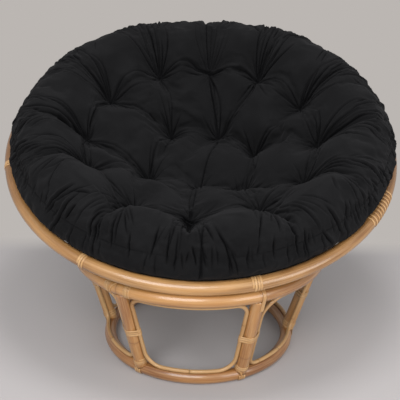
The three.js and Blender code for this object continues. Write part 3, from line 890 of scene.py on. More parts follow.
@dataclass
class Stand(Group):
    """Two rings, six legs, six window canes and their bindings, centred on the upright axis."""

    body = Body.STAND
    height: float = 293.0
    top_radius: float = 330.0
    base_radius: float = 254.0
    pole: float = 33.8
    pole_room: float = 17.0  # from a pole's middle to where a neighbour may begin
    seat: float = 17.2  # radius of the hollow in a leg's end
    base_pole: float = 32.6
    cad_sides: int = 10  # of a CAD pole's outline, which stands on a flat
    floor_gap: float = 0.5
    leg_count: int = 6
    first_leg: float = 25.5
    saddle: float = 7.0
    cane: float = 10.0
    cane_gap: float = 0.5
    tight_bend: float = 27.5
    wide_bend: float = 50.0
    tight_feet: tuple[int, ...] = (0, 4)  # windows whose cane bends tightly at its foot
    wide_top: int = 0  # the one where it bends widely at its upper left
    butt_gap: float = 0.6
    strap_width: float = 10.0
    strap_reach: float = 42.0
    strap_offset: float = 5.0
    strap_end: float = 4.0  # over which the strap's end goes into the leg
    over_peel: float = 0.3  # room for a strand that lies over another
    fine_start: float = -30.0
    fine_rise: float = 0.9
    slant_share: float = 0.6  # of one turn
    tail_angles: tuple[float, float] = (26.0, -38.0)
    tail_tuck: float = 0.3  # radians over which the tail's end dips
    foot_end: float = -0.6  # where a foot's turns end, in radians from the leg's front
    foot_short: float = 0.12  # share of a turn that its last turn is short of a whole one
    over_ring: float = 0.2  # how much farther out the strap lies over the ring
    leg_steps: int = 34
    corner_steps: int = 10
    strap_steps: int = 8
    tail_steps: int = 9
    fine_width: float = 3.0
    fine_space: float = 0.5
    fine_turns: int = 5
    turns: int = 3
    stop_spacing: float = 7.0
    peel: Peel = field(default_factory=Peel)

    def __post_init__(self) -> None:
        """Works out the rings and the cone that holds the legs' middles."""
        self.top_middle = self.height - self.pole_room
        self.base_middle = self.pole_room * math.cos(HALF_TURN / self.cad_sides)
        self.rise = self.top_middle - self.base_middle
        self.run = self.top_radius - self.base_radius
        self.length = math.hypot(self.rise, self.run)
        self.slope = math.atan2(self.run, self.rise)
        self.top = Ring(self.top_radius, self.top_middle, self.pole)
        self.base = Ring(self.base_radius, self.base_middle + self.floor_gap, self.base_pole)

    def leg_angle(self, index: int) -> float:
        """Angle of a leg."""
        return math.radians(self.first_leg) + FULL_TURN * index / self.leg_count

    def on_cone(self, up: float, angle: float) -> Vector:
        """A point of the legs' cone, a distance up its slope from the base ring's middle."""
        share = up / self.length
        radius = self.base_radius + self.run * share
        return around(radius, angle, self.base_middle + self.rise * share)

    def cone_radius(self, up: float) -> float:
        """The cone's radius there."""
        return self.base_radius + self.run * up / self.length

    def leg_frame(self, index: int) -> LegFrame:
        """A leg's directions."""
        angle = self.leg_angle(index)
        return LegFrame(
            out=around(math.cos(self.slope), angle, -math.sin(self.slope)),
            side=around(1, angle + QUARTER_TURN, 0),
            up=around(math.sin(self.slope), angle, math.cos(self.slope)),
            foot=self.on_cone(0, angle),
        )

    def build(self) -> None:
        """Builds every piece of the stand."""
        # the base ring takes the finish with painted shade
        rings = (("top_ring", self.top, "pole"), ("base_ring", self.base, "base"))
        for seed, (node, ring, finish) in enumerate(rings):
            self.make(f"{node}_pole", self.ring_mesh(ring, seed), finish, Slot.POLE, node)
        for i in range(self.leg_count):
            self.make(f"leg_{i + 1}_pole", self.leg(i), "pole", Slot.POLE, f"leg_{i + 1}")
            node = f"window_cane_{i + 1}"
            self.make(f"{node}_bent", self.window_cane(i), "cane", Slot.CANE, node)
            top = LegTop.STRAP if i == 0 else LegTop.TURNS
            for node, mesh in (
                (f"leg_top_binding_{i + 1}", self.leg_top(i, top)),
                (f"leg_middle_binding_{i + 1}", self.leg_middle(i)),
                (f"leg_foot_binding_{i + 1}", self.leg_foot(i)),
            ):
                self.make(f"{node}_peel", mesh, "peel", Slot.PEEL, node)

    def ring_mesh(self, ring: Ring, seed: int) -> Drawing:
        """A ring of the stand, whose own joint is hidden under a leg's binding."""
        start = self.leg_angle(0)
        spacing = FULL_TURN * ring.radius / self.leg_count
        grain = Grain(0.0, spacing, seed=Seed.STAND_RING + 4 * seed)
        stops = ring.stops(start, start + FULL_TURN, self.stop_spacing)[:-1]
        return sweep(stops, round_section(ring.pole, POLE_SIDES), grain, closed=True)

    def leg(self, index: int) -> Drawing:
        """A straight leg with both ends hollowed to sit on the rings."""
        frame = self.leg_frame(index)
        low = self.pole_room - self.saddle
        ups = spaced(low, self.length - low, self.leg_steps)
        stops = [Stop(frame.at(0, 0, up), frame.out) for up in ups]
        first = 60 + 31 * ((index * 5) % 6)
        grain = Grain(first_joint=first, joint_spacing=300, seed=Seed.LEG + index)
        bm = sweep(stops, round_section(self.pole, POLE_SIDES), grain)
        for vert in bm.verts:
            offset = vert.co - frame.foot
            outward, up = offset.dot(frame.out), offset.dot(frame.up)
            reach = max(low, math.sqrt(max(self.seat**2 - outward**2, 0)))
            if up < reach:
                vert.co += frame.up * (reach - up)
            elif up > self.length - reach:
                vert.co -= frame.up * (up - self.length + reach)
        return bm

    def rounded_corner(
        self, before: Vector, corner: Vector, after: Vector, bend: float
    ) -> list[Vector]:
        """Rounds a corner of an outline on the unrolled cone.

        Args:
            before: The corner before it.
            corner: The corner.
            after: The corner after it.
            bend: Radius of the bend.

        Returns:
            The bend's points.
        """
        into = (before - corner).normalized()
        out_of = (after - corner).normalized()
        half_angle = into.angle(out_of) / 2
        middle = corner + (into + out_of).normalized() * bend / math.sin(half_angle)
        start = corner + into * bend / math.tan(half_angle) - middle
        end = corner + out_of * bend / math.tan(half_angle) - middle
        turn = math.atan2(start.x * end.y - start.y * end.x, start.dot(end))
        turns = spaced(0, turn, self.corner_steps)
        return [middle + Matrix.Rotation(turned, 2) @ start for turned in turns]

    def window_cane(self, index: int) -> Drawing:
        """A thin cane bent to line a window. Its ends meet under the window's middle."""
        from_ring = self.pole_room + self.cane_gap + self.cane / 2
        low, high = from_ring, self.length - from_ring

        def side(up: float) -> float:
            radius = self.cone_radius(up)
            return radius * (HALF_TURN / self.leg_count - math.asin(from_ring / radius))

        ends = ((1, low), (1, high), (-1, high), (-1, low))
        corners = [Vector((sign * side(up), up)) for sign, up in ends]
        foot = self.tight_bend if index in self.tight_feet else self.wide_bend
        left_top = self.wide_bend if index == self.wide_top else self.tight_bend
        bends = [foot, self.tight_bend, left_top, foot]
        outline = [Vector((self.butt_gap / 2, low))]
        for i, bend in enumerate(bends):
            arc = self.rounded_corner(corners[i - 1], corners[i], corners[(i + 1) % 4], bend)
            outline += self.run_to(outline[-1], arc[0])
            outline += arc
        outline += self.run_to(outline[-1], Vector((-self.butt_gap / 2, low)))
        outline.append(Vector((-self.butt_gap / 2, low)))
        middle = self.leg_angle(index) + HALF_TURN / self.leg_count
        stops = []
        for at in outline:
            angle = middle + at.x / self.cone_radius(at.y)
            out = around(math.cos(self.slope), angle, -math.sin(self.slope))
            stops.append(Stop(self.on_cone(at.y, angle), out))
        grain = Grain(140 + 23 * index, joint_spacing=345, swell=0.03, seed=Seed.CANE + index)
        return sweep(stops, round_section(self.cane, THIN_SIDES), grain)

    def run_to(self, start: Vector, end: Vector) -> list[Vector]:
        """Points between two others on the unrolled cone, without them."""
        count = max(2, round((end - start).length / self.stop_spacing))
        return [start.lerp(end, i / count) for i in range(1, count)]

    def leg_top(self, index: int, kind: LegTop) -> Drawing:
        """The binding of a leg's top."""
        if kind is LegTop.STRAP:
            peel = replace(self.peel, width=self.strap_width)
            stops = self.strap_stops(index)
        else:
            peel = replace(self.peel, width=self.fine_width, space=self.fine_space)
            stops = self.turn_stops(index, peel)
        return sweep(stops, peel.section, peel.grain(Seed.TOP_PEEL + index))

    def turn_stops(self, index: int, peel: Peel) -> list[Stop]:
        """Turns on the ring beside the leg, a slant over the leg and turns beyond it."""
        reach = self.pole_room + self.over_peel + peel.width / 2 + peel.space
        steps = peel.steps
        slant_steps = round(steps * self.slant_share)
        lead = self.fine_turns * steps
        start = math.radians(self.fine_start)
        count = 2 * lead + slant_steps
        stops = []
        for i in range(-lead, slant_steps + lead + 1):
            slant = eased(i / slant_steps)
            turned = i - min(max(i, 0), slant_steps)
            along = reach * (2 * slant - 1) + peel.pitch * turned / steps
            away = self.pole / 2 + peel.off - peel.dip(i + lead, count)
            if 0 <= i <= slant_steps:
                away += self.fine_rise * math.sin(HALF_TURN * i / slant_steps)
            angle = self.leg_angle(index) + along / self.top_radius
            stops.append(self.top.stop(angle, start + FULL_TURN * i / steps, away))
        return stops

    def strap_stops(self, index: int) -> list[Stop]:
        """A strap laid over the top ring and down both faces of the leg."""
        frame = self.leg_frame(index)
        on_leg = self.pole / 2 + self.peel.off
        on_ring = on_leg + self.over_ring
        stops = []
        for sign in (1, -1):
            face = []
            for down in spaced(self.strap_reach, self.strap_end, self.strap_steps):
                lift = on_leg + (on_ring - on_leg) * eased(1 - down / self.strap_reach)
                dip = self.peel.tuck * (1 - eased((self.strap_reach - down) / self.strap_end))
                place = frame.at(sign * (lift - dip), self.strap_offset, self.length - down)
                face.append(Stop(place, frame.out * sign))
            stops.append(face)
        angle = self.leg_angle(index) + self.strap_offset / self.top_radius
        turns = spaced(0, HALF_TURN, 2 * self.strap_steps)
        over = [self.top.stop(angle, turned - self.slope, on_ring) for turned in turns]
        return [*stops[0], *over, *reversed(stops[1])]

    def hull_loop(
        self, circles: Sequence[tuple[Vector, float]], count: int
    ) -> list[tuple[Vector, Vector]]:
        """A strand's line pulled tight round circles that lie in one plane.

        Args:
            circles: Middle and radius of each.
            count: Number of points.

        Returns:
            Points of the line and the ways out there, counted from the first direction.
        """
        line = []
        for i in range(count):
            turned = FULL_TURN * i / count
            out = Vector((math.cos(turned), math.sin(turned)))
            middle, radius = max(circles, key=lambda circle: circle[0].dot(out) + circle[1])
            line.append((middle + out * radius, out))
        return line

    def leg_middle(self, index: int) -> Drawing:
        """Turns that hold a leg and the two canes beside it together."""
        frame = self.leg_frame(index)
        aside = self.pole_room + self.cane_gap + self.cane / 2
        middle_up = self.length / 2
        radius = self.cone_radius(middle_up)
        set_back = radius - math.sqrt(radius**2 - aside**2)
        circles = [(Vector((0, 0)), self.pole / 2 + self.peel.off)]
        for sign in (1, -1):
            circles.append((Vector((sign * aside, -set_back)), self.cane / 2 + self.peel.off))
        line = self.hull_loop(circles, 2 * self.peel.steps)
        count = self.turns * len(line)
        length = self.turns * self.peel.pitch
        stops = []
        for i in range(count + 1):
            at, out = line[(i + len(line) * 3 // 4) % len(line)]
            up = middle_up + length / 2 - length * i / count
            outward = frame.side * out.x + frame.out * out.y
            dip = self.peel.dip(i / 2, count / 2)
            stops.append(Stop(frame.at(at.y, at.x, up) - outward * dip, outward))
        return sweep(stops, self.peel.section, self.peel.grain(Seed.MIDDLE_PEEL + index))

    def leg_foot(self, index: int) -> Drawing:
        """Turns round a leg's foot, with the strand's tail drawn down over the base ring."""
        frame = self.leg_frame(index)
        on_leg = self.pole / 2 + self.peel.off
        lowest = self.pole_room + self.over_peel + self.peel.width / 2 + self.peel.space
        steps = self.peel.steps
        count = self.turns * steps - round(steps * self.foot_short)
        stops = []
        for i in range(count + 1):
            angle = FULL_TURN * (i - count) / steps + self.foot_end
            out = frame.out * math.cos(angle) + frame.side * math.sin(angle)
            up = lowest + self.peel.pitch * (count - i) / steps
            away = on_leg - (self.peel.dip(i, 2 * count) if i < count / 2 else 0)
            stops.append(Stop(frame.at(0, 0, up) + out * away, out))
        asides = [shift * self.peel.pitch - self.peel.width / 2 for shift in (0, -1, 1)]
        tails = [self.tail_stops(frame, aside) for aside in asides]
        grain = self.peel.grain(Seed.FOOT_PEEL + index)
        bm = sweep(stops + tails[0], self.peel.section, grain)
        for k, tail in enumerate(tails[1:]):
            grain = self.peel.grain(Seed.TAIL_PEEL + 10 * k + index)
            strand = sweep(tail, self.peel.section, grain)
            mesh = drawn(strand, "strand")
            bm.from_mesh(mesh)
            bpy.data.meshes.remove(mesh)
        return bm

    def tail_stops(self, frame: LegFrame, sideways: float) -> list[Stop]:
        """A strand that is drawn down over the base ring in front of a leg."""
        stops = []
        start, end = (math.radians(a) for a in self.tail_angles)
        for turned in spaced(start, end, self.tail_steps):
            out = frame.out * math.cos(turned) + frame.up * math.sin(turned)
            dip = self.peel.tuck * (1 - eased((turned - end) / self.tail_tuck))
            away = self.pole / 2 + self.peel.off + self.over_peel - dip
            stops.append(Stop(frame.at(0, sideways, 0) + out * away, out))
        return stops


# The cushion


@dataclass(frozen=True)
class Tuft:
    """A point where a thread draws the cover down: its angle, its place and how hard it pulls."""

    angle: float
    radius: float
    height: float
    pull: float = 1.0

    @property
    def place(self) -> Vector:
        """The tuft's place above the rim's plane."""
        return around(self.radius, math.radians(self.angle), self.height)

    def away(self, places: np.ndarray) -> np.ndarray:
        """How far places are from the tuft, seen from above."""
        return np.hypot(places[:, 0] - self.place.x, places[:, 1] - self.place.y)

    def valley(self, places: np.ndarray) -> tuple[Vector, np.ndarray, np.ndarray]:
        """The way out from the tuft, and how far places are along it and from it."""
        out = around(1, math.radians(self.angle), 0)
        beyond = places[:, 0] * out.x + places[:, 1] * out.y - self.radius
        return out, beyond, np.abs(places[:, 0] * out.y - places[:, 1] * out.x)


OUTER_TUFTS = (
    Tuft(-4, 336, 8),
    Tuft(26, 340, 6),
    Tuft(54, 338, 2),
    Tuft(84, 330, 2),
    Tuft(115, 328, 4),
    Tuft(147.5, 328, 4),
    Tuft(176, 312, 20, pull=0.45),
    Tuft(205, 322, 4),
    Tuft(240.5, 318, 4),
    Tuft(274.5, 324, 4),
    Tuft(297, 338, 4),
    Tuft(331, 342, 6),
)
INNER_TUFTS = (
    Tuft(-1, 122, -90),
    Tuft(41, 182, -104),
    Tuft(105, 167, -108),
    Tuft(157, 142, -108),
    Tuft(217, 155, -108),
    Tuft(298, 168, -108),
)
TUFTS = OUTER_TUFTS + INNER_TUFTS
SHADE_DEPTH = 5.5  # a fold this deep gets the darkest painted shade
SHADE_WIDTH = 0.85  # of its line of painted shade, in a fold's half widths, as the next three are
FOLD_REACH = 7  # beyond which a fold isn't worked out
LIP_PLACE = 2.3
LIP_WIDTH = 1.5
ROUTE_STEP = 9  # millimetres from one place of a route to the next
FEWEST_STEPS = 6
BOW_PLACES = 15


class FoldShape(Enum):
    """Where along its route a fold is deep."""

    RAY = "deep near its start"
    BRIDGE = "deep at both ends"
    GATHER = "deep in the middle"
    EVEN = "as deep all along"

    def strength(self, share: np.ndarray) -> np.ndarray:
        """A fold's depth at shares of its route, as a share of its greatest depth."""
        if self is FoldShape.RAY:
            return (1 - share) ** 0.8 * np.minimum(1, 0.25 + share / 0.08)
        if self is FoldShape.BRIDGE:
            return 0.3 + 0.7 * np.abs(2 * share - 1) ** 1.6
        if self is FoldShape.GATHER:
            return np.sin(np.pi * share) ** 0.8
        return np.minimum(1, np.minimum(share, 1 - share) * 20)


@dataclass(frozen=True)
class FoldKind:
    """A kind of fold.

    width is its half width at the start and at the end, depth the range that its greatest depth
    is drawn from, and lip how far the cloth stands up on the left of it, as a share of its depth.
    """

    shape: FoldShape
    width: tuple[float, float]
    depth: tuple[float, float] = (0.0, 0.0)
    lip: float = 0.45


VALLEY = FoldKind(FoldShape.BRIDGE, (2.5, 2.9), (7.0, 10.0))
SIDE_RAY = FoldKind(FoldShape.RAY, (2.0, 2.8), (4.5, 8.5))
TUFT_RAY = FoldKind(FoldShape.RAY, (1.9, 2.7), (4.0, 8.0))
DRAG_LINE = FoldKind(FoldShape.RAY, (2.0, 3.0), (4.5, 9.5))
CREST_LINE = FoldKind(FoldShape.GATHER, (2.0, 2.7), (2.5, 7.0))
CRUMPLE = FoldKind(FoldShape.EVEN, (2.1, 2.4), (4.0, 8.0))
PLEAT = FoldKind(FoldShape.GATHER, (2.1, 2.9))
STITCH = FoldKind(FoldShape.GATHER, (2.4, 2.4))
EDGE_SEAM = FoldKind(FoldShape.EVEN, (2.6, 2.6), lip=0.3)
CROSS_SEAM = FoldKind(FoldShape.EVEN, (2.7, 2.7), lip=0.25)
FRONT_NOTCH = FoldKind(FoldShape.GATHER, (3.0, 3.0), lip=0.15)
BACK_NOTCH = FoldKind(FoldShape.GATHER, (7.0, 7.0), lip=0.15)


@dataclass(frozen=True)
class Fold:
    """A fold pressed into the cover along a route on its flat pattern, as deep as depth."""

    kind: FoldKind
    route: np.ndarray
    depth: float

    def press(
        self, flat: np.ndarray, sink: np.ndarray, rise: np.ndarray, dark: np.ndarray
    ) -> None:
        """Adds the fold to a cover.

        Args:
            flat: Places on the flat pattern.
            sink: Depth of the deepest fold at each place, which grows.
            rise: Height of the highest lip at each place, which grows.
            dark: How dark the painted shade at the bottom of a fold is at each place, which grows.
        """
        start, end = self.kind.width
        room = FOLD_REACH * max(start, end)
        inside = (flat > self.route.min(0) - room) & (flat < self.route.max(0) + room)
        near = np.flatnonzero(inside.all(axis=1))
        if not len(near):
            return
        spans = np.diff(self.route, axis=0)
        lengths = np.linalg.norm(spans, axis=1)
        offset = flat[near][:, None, :] - self.route[:-1][None]
        along = np.clip((offset * spans).sum(axis=2) / lengths**2, 0, 1)
        gap = offset - along[..., None] * spans
        closest = (gap**2).sum(axis=2).argmin(axis=1)
        rows = np.arange(len(near))
        travelled = np.concatenate(([0], np.cumsum(lengths)))
        share = (travelled[closest] + along[rows, closest] * lengths[closest]) / travelled[-1]
        gap = gap[rows, closest]
        span = spans[closest]
        side = np.sign(span[:, 0] * gap[:, 1] - span[:, 1] * gap[:, 0])
        away = side * np.linalg.norm(gap, axis=1)
        width = start + (end - start) * share
        depth = self.depth * self.kind.shape.strength(share)
        groove = depth * np.exp(-((away / width) ** 2))
        beside = (away - LIP_PLACE * width) / (LIP_WIDTH * width)
        lip = self.kind.lip * depth * np.exp(-(beside**2))
        # painted shade along the bottom of the fold
        line = np.minimum(1, depth / SHADE_DEPTH) * np.exp(-((away / (SHADE_WIDTH * width)) ** 2))
        sink[near] = np.maximum(sink[near], groove)
        rise[near] = np.maximum(rise[near], lip)
        dark[near] = np.maximum(dark[near], line)


def curved(start: np.ndarray, heading: float, length: float, bend: float) -> np.ndarray:
    """A route that leaves a place in one direction and turns evenly by bend on its way."""
    steps = max(FEWEST_STEPS, round(length / ROUTE_STEP))
    headings = heading + bend * (np.arange(steps) + 0.5) / steps
    moves = np.stack((np.cos(headings), np.sin(headings)), axis=1) * length / steps
    return np.vstack((start, start + np.cumsum(moves, axis=0)))


def bowed(start: np.ndarray, end: np.ndarray, bow: float) -> np.ndarray:
    """A route between two places that bows out to its left by a share of its length."""
    share = np.linspace(0, 1, BOW_PLACES)[:, None]
    run = end - start
    return start + run * share + np.array([-run[1], run[0]]) * bow * np.sin(np.pi * share)


def on_flat(radius: float, angle: float) -> np.ndarray:
    """A place on the flat pattern."""
    return np.array(around(radius, angle, 0))[:2]


@dataclass
class CoverFolds:
    """Lays out the folds of the cover on its flat pattern, the same ones on each run."""

    seam_place: float
    seed: int = 5
    rays: int = 12
    crest: float = 440.0  # the roll's crest and the cover's edge, from the middle
    edge: float = 606.0
    back: float = HALF_TURN - 0.02
    stitch_spacing: float = 16.0
    ring_steps: int = 180
    crumple_count: int = 9
    drag_turns: tuple[float, ...] = (-1.05, -0.75, -0.5, -0.28, -0.1, 0.1, 0.3, 0.52, 0.78, 1.05)
    crest_turns: tuple[float, ...] = (
        *(-0.25, -0.19, -0.13, -0.08, -0.03),
        *(0.03, 0.08, 0.14, 0.19, 0.25),
    )

    def __post_init__(self) -> None:
        """Starts the draws and finds the tufts on the flat pattern."""
        self.draw = np.random.default_rng(self.seed)
        self.outer = [on_flat(t.radius, math.radians(t.angle)) for t in OUTER_TUFTS]
        self.inner = [on_flat(t.radius, math.radians(t.angle)) for t in INNER_TUFTS]
        self.folds: list[Fold] = []

    def between(self, low: float, high: float) -> float:
        """One draw from a range."""
        return float(self.draw.uniform(low, high))

    def add(
        self, kind: FoldKind, route: np.ndarray, pull: float = 1.0, depth: float | None = None
    ) -> None:
        """Adds a fold. Its depth is drawn if none is given, and so is the side of its lip."""
        if depth is None:
            depth = self.between(*kind.depth) * pull
        if self.draw.random() < 0.5 and kind.shape is not FoldShape.RAY:
            route = route[::-1]
        self.folds.append(Fold(kind, route, depth))

    def all(self) -> list[Fold]:
        """Every fold of the cover."""
        self.bridges()
        self.tuft_rays()
        self.drag_lines()
        self.seam_gathers()
        self.seams()
        self.notches()
        self.crumples()
        return self.folds

    def bridges(self) -> None:
        """Valleys from each tuft to its neighbours, with fainter ones beside them."""
        pairs = []
        for ring in (self.outer, self.inner):
            pairs += [(ring[i], ring[(i + 1) % len(ring)]) for i in range(len(ring))]
        for inner in self.inner:
            nearest = sorted(self.outer, key=lambda place: float(np.linalg.norm(place - inner)))
            pairs += [(inner, place) for place in nearest[:2]]
        for start, end in pairs:
            self.add(VALLEY, bowed(start, end, self.between(-0.13, -0.04)))
            for first, last in ((start, end), (end, start)):
                run = last - first
                heading = math.atan2(run[1], run[0])
                for side in (-1, 1):
                    turn = side * self.between(0.1, 0.34)
                    length = float(np.linalg.norm(run)) * self.between(0.3, 0.7)
                    route = curved(first, heading + turn, length, -turn * self.between(0.6, 2.0))
                    self.add(SIDE_RAY, route)

    def tuft_rays(self) -> None:
        """Short creases that run out from each tuft in every direction."""
        for tuft, place in zip(TUFTS, self.outer + self.inner):
            first = self.between(0, FULL_TURN)
            for k in range(self.rays):
                heading = first + FULL_TURN * (k + self.between(-0.3, 0.3)) / self.rays
                length = float(np.clip(self.draw.lognormal(math.log(48), 0.5), 18, 125))
                route = curved(place, heading, length * tuft.pull, self.between(-0.8, 0.8))
                self.add(TUFT_RAY, route, tuft.pull)

    def drag_lines(self) -> None:
        """Long creases from the outer tufts over the edge roll, and ones from its crest."""
        for tuft, place in zip(OUTER_TUFTS, self.outer):
            outward = math.atan2(place[1], place[0])
            for offset in self.drag_turns:
                turn = offset + self.between(-0.1, 0.1)
                length = self.between(80, 230) * (1 - 0.25 * abs(turn))
                route = curved(place, outward + turn, length, -turn * self.between(0.7, 1.6))
                self.add(DRAG_LINE, route, tuft.pull)
            for offset in self.crest_turns:
                angle = math.radians(tuft.angle) + offset * self.between(0.7, 1.1)
                start = on_flat(self.between(398, 450), self.leant(angle, 0.45))
                end = on_flat(self.seam_place + self.between(-70, 24), angle)
                route = bowed(start, end, self.between(-0.03, 0.03))
                self.add(CREST_LINE, route, tuft.pull)

    def leant(self, angle: float, share: float) -> float:
        """An angle brought nearer to the nearest outer tuft's by a share."""
        away = [math.radians(t.angle) - angle + HALF_TURN for t in OUTER_TUFTS]
        return angle + share * min((a % FULL_TURN - HALF_TURN for a in away), key=abs)

    def seam_gathers(self) -> None:
        """Pleats where the top panel and the band are gathered into the seam between them."""
        angle = 0.0
        while angle < FULL_TURN:
            angle += float(np.clip(self.draw.lognormal(math.log(0.03), 0.5), 0.013, 0.09))
            long = self.draw.random() ** 1.5
            middle = self.seam_place + self.between(-14, 14)
            inward = 12 + 100 * long * self.draw.random()
            outward = 12 + 44 * self.draw.random()
            leant = self.leant(angle, 0.3 * long) + self.between(-0.012, 0.012)
            start = on_flat(middle - inward, leant)
            end = on_flat(middle + outward, angle + self.between(-0.01, 0.01))
            route = bowed(start, end, self.between(-0.06, 0.06))
            self.add(PLEAT, route, depth=3.0 + 6 * long)

    def seams(self) -> None:
        """The seam round the top panel, and the one that crosses it from back to front."""
        ring = [on_flat(self.seam_place, a) for a in spaced(0, FULL_TURN, self.ring_steps)]
        self.folds.append(Fold(EDGE_SEAM, np.array(ring), 2.2))
        places = [on_flat(self.edge, 0.0), on_flat(self.crest, 0.02), self.outer[0], self.inner[0]]
        places += [self.inner[3], self.outer[6]]
        places += [on_flat(reach, self.back) for reach in (self.crest, self.edge)]
        for start, end in zip(places, places[1:]):
            self.folds.append(Fold(CROSS_SEAM, bowed(start, end, 0.01), 6.0))
            self.seam_stitches(start, end)

    def seam_stitches(self, start: np.ndarray, end: np.ndarray) -> None:
        """Small pleats across a seam."""
        length = np.linalg.norm(end - start)
        count = round(float(length) / self.stitch_spacing)
        for i in range(count):
            middle = start + (end - start) * (i + self.between(0.2, 0.8)) / count
            run = (end - start) / length
            across = np.array([-run[1], run[0]]) * self.between(7, 15)
            slant = run * self.between(-4, 4)
            route = np.array([middle - across, middle + slant, middle + across])
            self.add(STITCH, route, depth=1.8)

    def notches(self) -> None:
        """Where the cross seam draws in the roll, at the front and at the back."""
        for kind, angle, depth in ((FRONT_NOTCH, 0.01, 6.0), (BACK_NOTCH, self.back, 15.0)):
            route = np.array([on_flat(reach, angle) for reach in (430, 520, self.edge)])
            self.folds.append(Fold(kind, route, depth))

    def crumples(self) -> None:
        """Short creases beside the seam, over the front tuft."""
        for _ in range(self.crumple_count):
            middle = on_flat(self.between(426, 452), self.between(-0.115, -0.05))
            heading = self.between(0, HALF_TURN)
            half = np.array([math.cos(heading), math.sin(heading)]) * self.between(6, 15)
            self.add(CRUMPLE, bowed(middle - half, middle + half, 0.15))


def reach_of(places: np.ndarray) -> np.ndarray:
    """How far places are from the upright axis."""
    return np.hypot(places[:, 0], places[:, 1])


def rising(values: np.ndarray, start: float, length: float) -> np.ndarray:
    """0 up to a start, 1 from a length beyond it, and an even slope between."""
    return np.clip((values - start) / length, 0, 1)


@dataclass
class Cushion(Group):
    """A round tufted cushion in the bowl's own directions. Heights are above the rim's plane."""

    body = Body.CUSHION
    rim_drop: float
    waist_height: float = 52.0
    seam_radius: float = 514.0
    seam_height: float = 80.0
    roll_radius: float = 82.0
    roll_height: float = 124.0
    roll_middle: float = 440.0
    roll_angles: tuple[float, float] = (104.0, 14.0)
    roll_steps: int = 8
    top_line: tuple[tuple[float, float], ...] = (
        *((0, -84), (80, -78), (158, -58)),
        *((240, -8), (300, 28), (345, 55), (385, 86)),
    )
    band_line: tuple[tuple[float, float], ...] = (
        *((530, 52), (533, 43), (533, 34), (529, 26)),
        *((521, 18.5), (514, 7.5), (512, -4), (508.5, -13), (496, -21)),
    )
    below_radii: tuple[float, ...] = (468, 400, 320, 240, 160, 80, 0)
    floor_radius: float = 606.0
    spin_steps: int = 160
    voxel: float = 9.0
    frames: int = 24
    pressure: float = 3.0
    stiffness: float = 25.0
    bending: float = 0.002
    spare_cloth: float = 0.08
    tuft_reach: float = 7.0
    tuft_spread: float = 40.0
    valley_depth: float = 62.0
    valley_spread: float = 25.0
    valley_held: float = 62.0
    valley_start: float = 30.0
    valley_length: float = 76.0
    valley_end: float = 62.0
    back_share: float = 0.14  # of a front valley's depth, for the ones at the back
    front_limit: float = -0.8
    cap: float = 30.0
    pinch_depth: float = 9.0
    pinch_reach: float = 7.0
    back_drop: float = 13.0
    back_power: int = 14  # narrows the drop to the very back
    back_from: float = 360.0
    sway: float = 5.0
    sway_from: float = 380.0
    sway_height: float = 24.0
    blend: float = 60.0  # outwards, over which the drop and the sway set in
    blend_height: float = 30.0
    top_above: float = 20.0  # the underside, where the top begins
    fold_above: float = 12.0  # the underside, where folds set in
    fold_blend: float = 14.0
    band_radius: float = 500.0  # beyond it they set in at a height instead
    band_height: float = 24.0
    band_blend: float = 10.0
    fine_above: float = 10.0  # the underside, where the mesh is finest
    fine_radius: float = 496.0  # beyond it the mesh is so from a height
    fine_height: float = 14.0

    def __post_init__(self) -> None:
        """Finds the middle of the roll's section."""
        self.roll_centre = self.roll_height - self.roll_radius

    def underside(self, radius: float | np.ndarray) -> float | np.ndarray:
        """Height of the underside, which lies on the bowl's inner rings."""
        return self.rim_drop - np.sqrt(np.maximum(self.floor_radius**2 - radius**2, 0))

    def profile(self) -> list[Vector]:
        """Half of the cushion's section, from its middle top over the edge to its middle below."""
        points = list(self.top_line)
        start, end = (math.radians(a) for a in self.roll_angles)
        for turned in spaced(start, end, self.roll_steps):
            out = self.roll_middle + self.roll_radius * math.cos(turned)
            points.append((out, self.roll_centre + self.roll_radius * math.sin(turned)))
        points += self.band_line
        points += [(radius, self.underside(radius)) for radius in self.below_radii]
        return [Vector((r, 0, h - self.rim_drop)) for r, h in points]

    def crown(self) -> Drawing:
        """The stuffed cover before its tufts are drawn in, spun round the upright axis."""
        bm = bmesh.new()
        points = [bm.verts.new(place) for place in self.profile()]
        edges = [bm.edges.new(pair) for pair in zip(points, points[1:])]
        bmesh.ops.subdivide_edges(bm, edges=edges, cuts=3)
        bmesh.ops.spin(
            bm,
            geom=bm.verts[:] + bm.edges[:],
            cent=(0, 0, 0),
            axis=UP,
            angle=FULL_TURN,
            steps=self.spin_steps,
            use_merge=True,
        )
        bmesh.ops.remove_doubles(bm, verts=bm.verts, dist=0.01)
        bmesh.ops.recalc_face_normals(bm, faces=bm.faces)
        return bm

    def remeshed(self, bm: Drawing) -> bpy.types.Object:
        """Gives the cover an even mesh, in metres and in the bowl's own directions."""
        bmesh.ops.scale(bm, vec=(METRES,) * 3, verts=bm.verts)
        form = placed("cushion_form", drawn(bm, "cushion_form"))
        even = form.modifiers.new("even_mesh", "REMESH")
        even.mode = "VOXEL"
        even.voxel_size = self.voxel * METRES
        return self.baked(form)

    def baked(self, form: bpy.types.Object) -> bpy.types.Object:
        """Applies a form's modifiers."""
        graph = bpy.context.evaluated_depsgraph_get()
        mesh = bpy.data.meshes.new_from_object(form.evaluated_get(graph))
        form.modifiers.clear()
        form.data = mesh
        return form

    def places(self, form: bpy.types.Object) -> np.ndarray:
        """The form's corners in millimetres, with heights above the rim's plane."""
        places = np.zeros(len(form.data.vertices) * 3)
        form.data.vertices.foreach_get("co", places)
        return places.reshape(-1, 3) / METRES + (0, 0, self.rim_drop)

    def move(self, form: bpy.types.Object, places: np.ndarray) -> None:
        """Puts the form's corners at places in millimetres, with heights above the rim's plane."""
        moved = (places - (0, 0, self.rim_drop)) * METRES
        form.data.vertices.foreach_set("co", moved.ravel())
        form.data.update()

